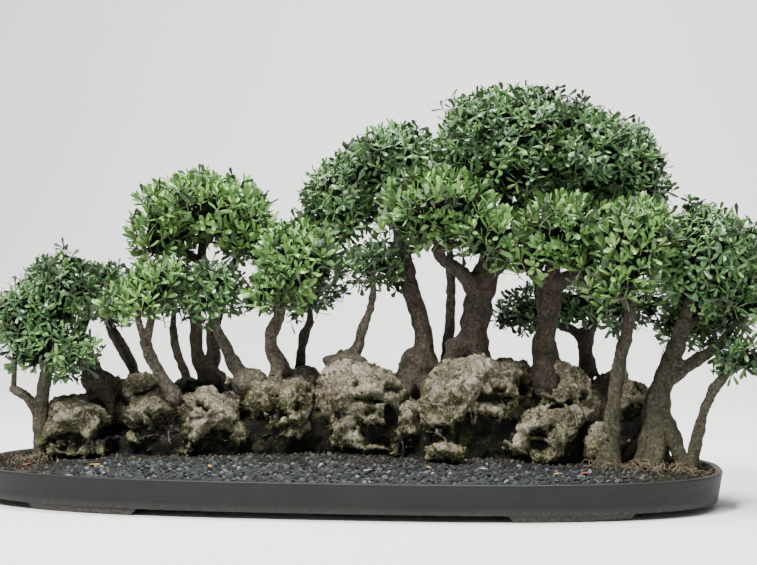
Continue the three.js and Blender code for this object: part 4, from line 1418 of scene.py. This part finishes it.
def bark_tree():
    """Roughens wood: ridges along the grain, and small knots."""
    tree = Group("rough_bark", {"Wood": "Geometry", "Ridges": 0.001, "Finish": "Material"})
    place, normal = tree.field("Position"), tree.field("Normal")
    ridges = tree.noise(place.stretched((1, 1, 0.3)), 170.0, 3.0, 0.6, Distortion=0.8) - 0.5
    knots = tree.noise(place, 75.0, 2.0) - 0.5
    depth = (knots * 1.6 + ridges * 2.0) * tree.given["Ridges"]
    return tree.finished(tree.offset(tree.given["Wood"], normal, depth))


def fibre_tree():
    """Gives routes of points their thickness: twigs, fine roots and dry grass."""
    tree = Group("thin_fibres", {"Routes": "Geometry", "Sides": 5, "Finish": "Material"})
    inputs = {"Resolution": tree.given["Sides"], "Radius": 1.0}
    ring = tree.give("GeometryNodeCurvePrimitiveCircle", inputs)
    inputs = {"Curve": tree.given["Routes"], "Profile Curve": ring, "Scale": tree.field("Radius")}
    return tree.whole(tree.give("GeometryNodeCurveToMesh", inputs | {"Fill Caps": True}))


def fibres_mesh(name, routes, tree, sides, finish):
    """A mesh of thin tubes along routes of (place, radius)."""
    curve = bpy.data.curves.new(name, "CURVE")
    curve.dimensions = "3D"
    for route in routes:
        spline = curve.splines.new("POLY")
        spline.points.add(len(route) - 1)
        for point, (place, radius) in zip(spline.points, route):
            point.co = (*place, 1)
            point.radius = radius
    mesh = shaped_by(name, curve, [("NODES", {"tree": tree, "Sides": sides, "Finish": finish})])
    made = bmesh.new()
    made.from_mesh(mesh)
    bmesh.ops.recalc_face_normals(made, faces=made.faces)
    made.to_mesh(mesh)
    made.free()
    return dressed(mesh)


def branch_routes(stems, crown, seed, head):
    """Limbs from the stems into the leafy masses, and twigs that fork from them and end among the leaves."""
    chance = random.Random(seed)
    routes = []

    def hidden(place):
        """Whether a place lies in the head, or so near it that the leaves cover it."""
        spot, normal, _, _ = head.find_nearest(place)
        return (place - spot).dot(normal) < 4 * MM or (place - spot).length < 6 * MM

    for mass in crown:
        x, y, z, rx, ry, rz, _ = mass
        limb = smooth_route(limb_knots(stems, mass), LIMB_STEP)
        routes.append(limb)
        for _ in range(max(8, round((rx + ry + rz) / 9))):
            start, radius = limb[chance.randrange(len(limb) // 2, len(limb))]
            out = stray(chance, 0.25, 0.8).normalized()
            reach = Vector((out.x * rx, out.y * ry, out.z * rz)) * MM
            end = place_of(x, y, z) + reach * chance.uniform(0.55, 0.78)
            bend = start.lerp(end, 0.5) + UP * chance.uniform(-0.004, 0.01)
            if not hidden(end) or not hidden(bend):
                continue
            thick = min(radius * 0.6, THICKEST_TWIG)
            routes.append([(start, thick), (bend, thick * 0.72), (end, TWIG_TIP)])
            for _ in range(2):
                fork = bend.lerp(end, chance.uniform(0.1, 0.7))
                aside = stray(chance, 0.4, 0.7).normalized()
                tip = fork + aside * chance.uniform(0.012, 0.024)
                routes.append([(fork, SIDE_TWIG), (tip, SIDE_TIP)])
    return routes


class BONSAI_OT_trees(Operator):
    """Grows the trunks with their roots, limbs and twigs"""

    bl_idname = "bonsai.trees"
    bl_label = "Trees"

    def execute(self, context):
        sizes = context.scene.bonsai_bark
        pale = bark_finish("pale_bark", sizes.pale[:], sizes.dark[:])
        dark = bark_finish("dark_bark", sizes.dark[:], tinted(sizes.dark, 0.6))
        # The bark of the trees on the right is darkened as painted shade of the crowns over them.
        shaded_olive = bark_finish("olive_bark", sizes.shaded_olive[:], tinted(sizes.dark, 0.8))
        ground = surface_of([*worn_stones(), NODES["gravel"].data])
        bark, fibres = bark_tree(), fibre_tree()
        for seed, (name, (roots, stems, crown)) in enumerate(TREES.items()):
            finish = pale if name in PALE_TREES else shaded_olive if name in SHADED_OLIVE_TREES else dark
            rough = ("NODES", {"tree": bark, "Ridges": sizes.ridges, "Finish": finish})
            wood = wood_mesh(name, roots, stems, seed, sizes.burls, ground)
            wood = shaped_by(f"wood_{name}", wood, [remeshed(sizes.voxel, True), smoothed(2), rough])
            heads = (f"foliage_{name}", f"foliage_{name}_front")
            head = surface_of(NODES[node].data for node in heads if node in NODES)
            routes = branch_routes(stems, crown, 50 + seed, head)
            twigs = fibres_mesh(f"twigs_{name}", routes, fibres, TWIG_SIDES, finish)
            mesh = joined_mesh(f"wood_{name}", [dressed(wood), twigs])
            new_piece(f"wood_{name}", mesh, f"tree_{name}")
        return {"FINISHED"}


# ---------------------------------------------------------------- leaves

# How many leaves each kind of shoot has, and the radius of its twig.
OUTER_COUNTS, INNER_COUNTS = (6, 7, 7, 8, 6), (5, 6, 4)
SHOOT_TWIG = 0.75 * MM
# A head is closed over by moving its surface out, and drawn in again by a little more.
HEAD_SWELL, HEAD_SHRINK = 12 * MM, 13.5 * MM


class ShootMesh:
    """A shoot under construction: its bmesh and the layers that its finish reads."""

    def __init__(self):
        self.made = bmesh.new()
        layers = self.made.verts.layers.float
        self.layers = [layers.new(name) for name in ("leaf_across", "leaf_along", "leaf_tone", "leaf_stem")]
        self.below = self.made.faces.layers.float.new("leaf_below")

    def vert(self, place, across, along, tone, stem=0.0):
        made = self.made.verts.new(place)
        for layer, value in zip(self.layers, (across, along, tone, stem)):
            made[layer] = value
        return made

    def leaf(self, base, along, normal, long, wide, curl, tone, form=OUTER_LEAF):
        """An obovate blade with a raised midrib over a flat underside: a closed thin body."""
        side = along.cross(normal).normalized()

        def at(t, s):
            lift = curl * t * t + (0.1 * wide if s == 0 else 0)
            return base + along * (long * t) + side * (s * wide / 2) + normal * lift

        rows = [[self.vert(at(t, s * w), s, t, tone) for s in (-1, 0, 1)] for t, w in form]
        tip = self.vert(base + along * long + normal * curl, 0, 1, tone)
        faces = self.made.faces
        for (a0, a1, a2), (b0, b1, b2) in zip(rows, rows[1:]):
            faces.new((a0, a1, b1, b0))
            faces.new((a1, a2, b2, b1))
            faces.new((a2, a0, b0, b2))[self.below] = 1.0
        left, middle, right = rows[-1]
        faces.new((left, middle, tip))
        faces.new((middle, right, tip))
        faces.new((right, left, tip))[self.below] = 1.0
        left, middle, right = rows[0]
        faces.new((left, right, middle))

    def twig(self, start, end, radius):
        turns = [heading(2 * math.pi * side / 3) * radius for side in range(3)]
        rings = [[self.vert(place + turn, 0, 0, 0.5, 1.0) for turn in turns] for place in (start, end)]
        skin(self.made, rings)


def shoot(sizes, seed, leaves, form, flat):
    """A shoot up +Z: leaves in a spiral, the lowest at flat degrees from the stem, the top ones steep."""
    chance = random.Random(seed)
    mesh = ShootMesh()
    height = 0.5 * sizes.length
    mesh.twig(Vector((0, 0, -0.6 * height)), Vector((0, 0, height)), SHOOT_TWIG)
    for index in range(leaves):
        t = index / (leaves - 1)
        out = heading(index * GOLDEN_ANGLE + chance.uniform(-0.3, 0.3))
        tilt = math.radians(flat - 58 * t + chance.uniform(-13, 13))
        along = out * math.sin(tilt) + UP * math.cos(tilt)
        normal = UP * math.sin(tilt) - out * math.cos(tilt)
        roll = Matrix.Rotation(chance.uniform(-0.35, 0.35), 3, along)
        long = sizes.length * (1 - 0.3 * t) * chance.uniform(0.82, 1.12)
        wide = sizes.width * (1 - 0.26 * t) * chance.uniform(0.85, 1.15)
        curl = -long * chance.uniform(-0.05, 0.2)
        # Upper leaves of a shoot get a lighter tone: partly young growth, partly painted light.
        tone = min(1.0, max(0.0, 0.35 + 0.4 * t + chance.uniform(-0.3, 0.3)))
        base = UP * (height * (0.05 + 0.9 * t)) + out * 0.6 * MM
        mesh.leaf(base, along, roll @ normal, long, wide, curl, tone, form)
    return mesh_of("shoot", mesh.made)


def shoot_kinds(name, sizes, counts, form, flat):
    """A collection of shoots with these numbers of leaves."""
    kinds = bpy.data.collections.new(name)
    for index, leaves in enumerate(counts):
        mesh = shoot(sizes, 20 + index, leaves, form, flat)
        kinds.objects.link(bpy.data.objects.new(f"{name}_{index}", mesh))
    return kinds


def foliage_tree():
    """Sets shoots over a leafy head: an outer layer in the light and a darker one inside it."""
    inputs = {"Head": "Geometry", "Shoots": "Collection", "Inner Shoots": "Collection", "Spacing": 0.015}
    inputs |= {"Inner Depth": 0.015, "Least Size": 0.75, "Most Size": 1.15, "Uprightness": 0.4}
    inputs |= {"Seed": 1, "Finish": "Material"}
    tree = Group("leafy_head", inputs)
    given, seed = tree.given, tree.given["Seed"]
    normal = tree.field("Normal")
    density = normal.part("Z").between(-0.95, -0.2, 0.3, 1.0)
    upright = tree.give("ShaderNodeCombineXYZ", {"Z": given["Uprightness"]})
    layers = []
    for layer, (kinds, depth, crowding) in enumerate((("Shoots", 0.0, 1.0), ("Inner Shoots", 1.0, 1.55))):
        surface = tree.offset(given["Head"], normal, given["Inner Depth"] * -depth)
        spacing = given["Spacing"] * crowding
        points, outward = tree.spread(surface, spacing, 20000.0, density, seed + 31 * layer)
        lean = tree.random((-0.5, -0.5, -0.4), (0.5, 0.5, 0.4), seed + (1 + layer))
        spin = tree.give("ShaderNodeCombineXYZ", {"Z": tree.random(0.0, 6.28, seed + (7 + layer))})
        inputs = {"Rotation": tree.aimed(outward.moved(lean).moved(upright)), "Rotate By": spin}
        turned = tree.give("FunctionNodeRotateRotation", inputs, rotation_space="LOCAL")
        size = tree.random(given["Least Size"], given["Most Size"], seed + (13 + layer))
        placed = tree.instances(points, tree.shapes(given[kinds]), turned, size)
        tone = tree.random(0.0, 1.0, seed + (19 + layer))
        layers.append(tree.stored(placed, "INSTANCE", shoot_tone=tone, shoot_inner=depth))
    both = tree.node("GeometryNodeJoinGeometry")
    for layer in reversed(layers):
        tree.feed(both.inputs[0], layer)
    return tree.whole(Value(tree, both.outputs[0]))


class BONSAI_OT_foliage(Operator):
    """Sets life-size leaves over each leafy head"""

    bl_idname = "bonsai.foliage"
    bl_label = "Foliage"

    def execute(self, context):
        sizes = context.scene.bonsai_leaf
        # Painted light and shade by head: the bright heads get more light and more young leaves, the shaded
        # heads are painted as in shade.
        bright = leaf_finish("bright_leaves", sizes, 0.9)
        dark = leaf_finish("dark_leaves", sizes, 0.3)
        shaded = leaf_finish("shaded_leaves", sizes, 0.05)
        erect = shoot_kinds("erect_shoots", sizes, OUTER_COUNTS, OUTER_LEAF, 64)
        flat = shoot_kinds("flat_shoots", sizes, OUTER_COUNTS, OUTER_LEAF, 86)
        inner = shoot_kinds("inner_shoots", sizes, INNER_COUNTS, INNER_LEAF, 80)
        closing = [remeshed(6 * MM), pushed(HEAD_SWELL), remeshed(6 * MM), smoothed(10), pushed(-HEAD_SHRINK)]
        coring = [smoothed(16), pushed(-sizes.core), remeshed(11 * MM), roughened("leaf_core", 8 * MM, 0.012)]
        shade = shade_finish()
        lit_habit = {"Shoots": erect, "Spacing": sizes.spacing * 0.92, "Uprightness": 1.0}
        lit_habit |= {"Least Size": 0.85, "Most Size": 1.15, "Finish": bright}
        dark_habit = {"Shoots": flat, "Spacing": sizes.spacing * 0.85, "Uprightness": 0.4}
        dark_habit |= {"Least Size": 0.68, "Most Size": 1.0}
        shared = {"tree": foliage_tree(), "Inner Shoots": inner, "Inner Depth": sizes.depth}
        nodes = sorted(name for name in NODES if name.startswith("foliage_"))
        for index, node in enumerate(nodes):
            name = node.removeprefix("foliage_")
            lit = name in BRIGHT_HEADS
            inputs = shared | {"Seed": sizes.seed + 3 * index}
            inputs |= lit_habit if lit else dark_habit | {"Finish": shaded if name in SHADED_HEADS else dark}
            head = shaped_by(f"head_{name}", mesh_of(name, copied(node)), closing)
            leaves = shaped_by(f"leaves_{name}", head, [("NODES", inputs)])
            core = dressed(shaped_by(f"core_{name}", head, coring), shade)
            mesh = joined_mesh(f"leaves_{name}", [leaves, core]) if core.vertices else leaves
            new_piece(f"leaves_{name}", dressed(mesh, sharp=50), node)
        for kinds in (erect, flat, inner):
            discard(kinds)
        return {"FINISHED"}


# ---------------------------------------------------------------- moss, thin roots and litter

TUFT_SPIKES = 7
DRAPED_SIDES, DRAPED_BURLS = 7, 0.3
STRAW_SIDES = 4
# A fallen leaf's length, width and curl.
FALLEN_SIZE = (15 * MM, 7 * MM, -2 * MM)


def tuft(size):
    """A small tuft of moss: spikes that lean out of one root."""
    chance = random.Random(5)
    made = bmesh.new()
    tip_layer = made.verts.layers.float.new("moss_tip")
    for index in range(TUFT_SPIKES):
        turn = index * GOLDEN_ANGLE
        lean = chance.uniform(0.15, 0.8)
        aim = Vector((math.cos(turn) * lean, math.sin(turn) * lean, 1)).normalized()
        high = size * chance.uniform(0.6, 1.1)
        foot = heading(turn) * size * 0.16
        corners = [heading(2 * math.pi * side / 3 + turn, -0.5) * size * 0.17 for side in range(3)]
        ring = [made.verts.new(foot + corner) for corner in corners]
        tip = made.verts.new(foot + aim * high)
        tip[tip_layer] = 1.0
        made.faces.new(list(reversed(ring)))
        for side in range(3):
            made.faces.new((ring[side], ring[(side + 1) % 3], tip))
    return mesh_of("tuft", made, smooth=False)


def moss_tree():
    """Sets tufts of moss on the damp parts of the stones."""
    inputs = {"Stone": "Geometry", "Tuft": "Object", "Spacing": 0.003, "Seed": 1, "Finish": "Material"}
    tree = Group("mossy_patches", inputs)
    given, seed = tree.given, tree.given["Seed"]
    growth = tree.noise(tree.field("Position"), 31.0, 5.0, 0.75).between(0.47, 0.56)
    growth = growth * tree.named("damp") * tree.named("hollow").between(0.5, 0.9, 1.0, 0.1)
    points, outward = tree.spread(given["Stone"], given["Spacing"], 150000.0, growth, seed)
    aimed = tree.aimed(outward.scaled(1.2).moved((0, 0, 0.5)))
    shape = tree.give("GeometryNodeObjectInfo", {"Object": given["Tuft"], "As Instance": True}, "Geometry")
    return tree.whole(tree.instances(points, shape, aimed, tree.random(0.55, 1.25, seed), pick=False))


class BONSAI_OT_moss(Operator):
    """Grows moss on the damp parts of the stones"""

    bl_idname = "bonsai.moss"
    bl_label = "Moss"

    def execute(self, context):
        sizes = context.scene.bonsai_greenery
        shape = bpy.data.objects.new("tuft", tuft(sizes.tuft))
        stones = joined_mesh("mossy", [mesh.copy() for mesh in worn_stones()])
        inputs = {"tree": moss_tree(), "Tuft": shape, "Spacing": sizes.spacing, "Seed": 4}
        inputs["Finish"] = moss_finish(sizes)
        new_piece("moss", dressed(shaped_by("moss", stones, [("NODES", inputs)]), smooth=False))
        bpy.data.objects.remove(shape)
        return {"FINISHED"}


def draped_route(knots, radius, ground):
    """A root over the front of the stones. It spans the hollows instead of following them in."""
    flat = smooth_route([(Vector((x, 0, z)) * MM, 1.0) for x, z in knots])
    route = []
    for index, (spot, _) in enumerate(flat):
        start = Vector((spot.x + TRAY_MIDDLE, -0.4, spot.z))
        hit, _, _, _ = ground.ray_cast(start, Vector((0, 1, 0)))
        if hit is None:
            continue
        thick = radius * MM * (1 - 0.6 * index / len(flat))
        route.append([hit.x, hit.y - 0.3 * thick, hit.z, thick])
    front = [y for _, y, _, _ in route]
    for index, point in enumerate(route):
        point[1] = 0.5 * min(front[max(0, index - 5) : index + 6]) + 0.5 * point[1]
    return [(Vector(point[:3]), point[3]) for point in route]


class BONSAI_OT_thin_roots(Operator):
    """Drapes thin roots over the stones"""

    bl_idname = "bonsai.thin_roots"
    bl_label = "Thin roots"

    def execute(self, context):
        ground = surface_of(worn_stones())
        made = bmesh.new()
        for index, (knots, radius) in enumerate(DRAPED):
            route = draped_route(knots, radius, ground)
            if len(route) > 3:
                tube(made, route, DRAPED_SIDES, swollen(route, index, DRAPED_BURLS, DRAPED_SIDES))
        finish = bark_finish("root_bark", (0.13, 0.118, 0.075), (0.05, 0.043, 0.025))
        new_piece("thin_roots", mesh_of("thin_roots", made, finish))
        return {"FINISHED"}


class BONSAI_OT_litter(Operator):
    """Strews dry grass, fine roots and fallen leaves over the gravel"""

    bl_idname = "bonsai.litter"
    bl_label = "Litter"

    def execute(self, context):
        sizes = context.scene.bonsai_greenery
        ground = surface_of([NODES["gravel"].data])
        chance = random.Random(9)

        def on_gravel(x, y, lift=0.0):
            spot = Vector((x * MM + TRAY_MIDDLE, y * MM, 0.3))
            hit, _, _, _ = ground.ray_cast(spot, Vector((0, 0, -1)))
            return hit + UP * lift * MM if hit else None

        routes = []
        for x, y, wide, count in STRAW:
            for _ in range(count):
                turn, away = chance.uniform(0, 6.28), wide * math.sqrt(chance.random())
                start = on_gravel(x + away * math.cos(turn), y + 0.7 * away * math.sin(turn), -1)
                if start is None:
                    continue
                aim = heading(chance.uniform(0, 6.28))
                out = aim * (chance.uniform(9, 26) * MM)
                rise = UP * chance.uniform(4, 13) * MM
                side = Vector((-out.y, out.x, 0)) * chance.uniform(-0.35, 0.35)
                steps = (Vector(), out * 0.35 + rise * 0.8, out * 0.7 + rise + side, out + side + rise * 0.3)
                thick = chance.uniform(0.4, 0.85) * MM
                routes.append([(start + step, thick * (1 - 0.2 * i)) for i, step in enumerate(steps)])
        straw = fibres_mesh("straw", routes, fibre_tree(), STRAW_SIDES, straw_finish(sizes))
        new_piece("dry_grass", straw)
        leaves = ShootMesh()
        for x, y, turn, tone in FALLEN:
            spot = on_gravel(x, y, 3)
            if spot:
                leaves.leaf(spot, heading(turn, 0.12), UP, *FALLEN_SIZE, tone)
        new_piece("fallen_leaves", mesh_of("fallen_leaves", leaves.made, fallen_leaf_finish()))
        return {"FINISHED"}


# ---------------------------------------------------------------- stage

# The floor runs back this far and bends up into a wall, with this radius, in metres.
BACK = 1.6
BEND = 1.4
# Lights: name, place, aim, width, power and colour.
LIGHTS = (
    ("key", (-0.9, -1.1, 2.5), (0, 0, 0.25), 0.8, 185, (1.0, 0.985, 0.95)),
    ("top", (0.5, 0.1, 2.6), (0, 0, 0.2), 1.2, 165, (0.97, 0.98, 1.0)),
    ("wall", (0, 0.9, 2.8), (0, 3.0, 1.0), 2.2, 110, (1.0, 1.0, 1.0)),
)
TOWARDS_CAMERA = Vector((0.1459, -0.9893, 0))


def add_light(name, place, aim, size, power, tint):
    light = bpy.data.lights.new(name, "AREA")
    light.shape = "DISK"
    light.size = size
    light.energy = power
    light.color = tint
    lamp = linked(name, light)
    lamp.location = place
    lamp.rotation_euler = (Vector(aim) - Vector(place)).to_track_quat("-Z", "Y").to_euler()


class BONSAI_OT_stage(Operator):
    """Sets up the floor, the soft studio lights and the camera"""

    bl_idname = "bonsai.stage"
    bl_label = "Stage"

    def execute(self, context):
        sizes = context.scene.bonsai_stage
        made = bmesh.new()
        turns = [math.radians(6 * step) for step in range(1, 16)]
        profile = [(-8.0, 0.0), (BACK, 0.0)]
        profile += [(BACK + BEND * math.sin(turn), BEND - BEND * math.cos(turn)) for turn in turns]
        profile += [(3.0, 7.0)]
        rows = [[made.verts.new((x, y, z)) for x in (-12, 12)] for y, z in profile]
        for near, far in zip(rows, rows[1:]):
            made.faces.new((*near, *reversed(far)))
        linked("floor", mesh_of("floor", made, floor_finish(sizes)))
        world = bpy.data.worlds.new("studio")
        context.scene.world = world
        world.use_nodes = True
        sky = world.node_tree.nodes["Background"]
        sky.inputs["Color"].default_value = (0.86, 0.9, 0.94, 1)
        sky.inputs["Strength"].default_value = 0.5
        for light in LIGHTS:
            add_light(*light)
        lens = bpy.data.cameras.new("camera")
        lens.sensor_width = 36
        lens.lens = sizes.lens
        lens.clip_end = 100
        camera = linked("camera", lens)
        camera.location = Vector((TRAY_MIDDLE, 0, sizes.height)) + TOWARDS_CAMERA * sizes.distance
        camera.rotation_euler = Euler((math.radians(89.7), 0, sizes.turn))
        context.scene.camera = camera
        return {"FINISHED"}


# ---------------------------------------------------------------- panel and run

OPERATORS = (
    BONSAI_OT_stage,
    BONSAI_OT_tray,
    BONSAI_OT_soil,
    BONSAI_OT_gravel,
    BONSAI_OT_stones,
    BONSAI_OT_muck,
    BONSAI_OT_trees,
    BONSAI_OT_foliage,
    BONSAI_OT_moss,
    BONSAI_OT_thin_roots,
    BONSAI_OT_litter,
)


class BONSAI_PT_parts(Panel):
    """Lists what makes each part of the planting"""

    bl_idname = "BONSAI_PT_parts"
    bl_label = "Olive forest planting"
    bl_space_type = "VIEW_3D"
    bl_region_type = "UI"
    bl_category = "Bonsai"

    def draw(self, context):
        for operator in OPERATORS:
            self.layout.operator(operator.bl_idname)
        for name, group in SIZE_GROUPS.items():
            box = self.layout.box()
            box.label(text=group.__name__)
            for key in group.__annotations__:
                box.prop(getattr(context.scene, name), key)


def register():
    for name, group in SIZE_GROUPS.items():
        bpy.utils.register_class(group)
        setattr(bpy.types.Scene, name, PointerProperty(type=group))
    for made in (*OPERATORS, BONSAI_PT_parts):
        bpy.utils.register_class(made)


def unregister():
    for made in reversed((*OPERATORS, BONSAI_PT_parts)):
        bpy.utils.unregister_class(made)
    for name, group in SIZE_GROUPS.items():
        delattr(bpy.types.Scene, name)
        bpy.utils.unregister_class(group)


def main():
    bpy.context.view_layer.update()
    register()
    for operator in OPERATORS:
        area, name = operator.bl_idname.split(".")
        getattr(getattr(bpy.ops, area), name)()


if __name__ == "__main__":
    main()
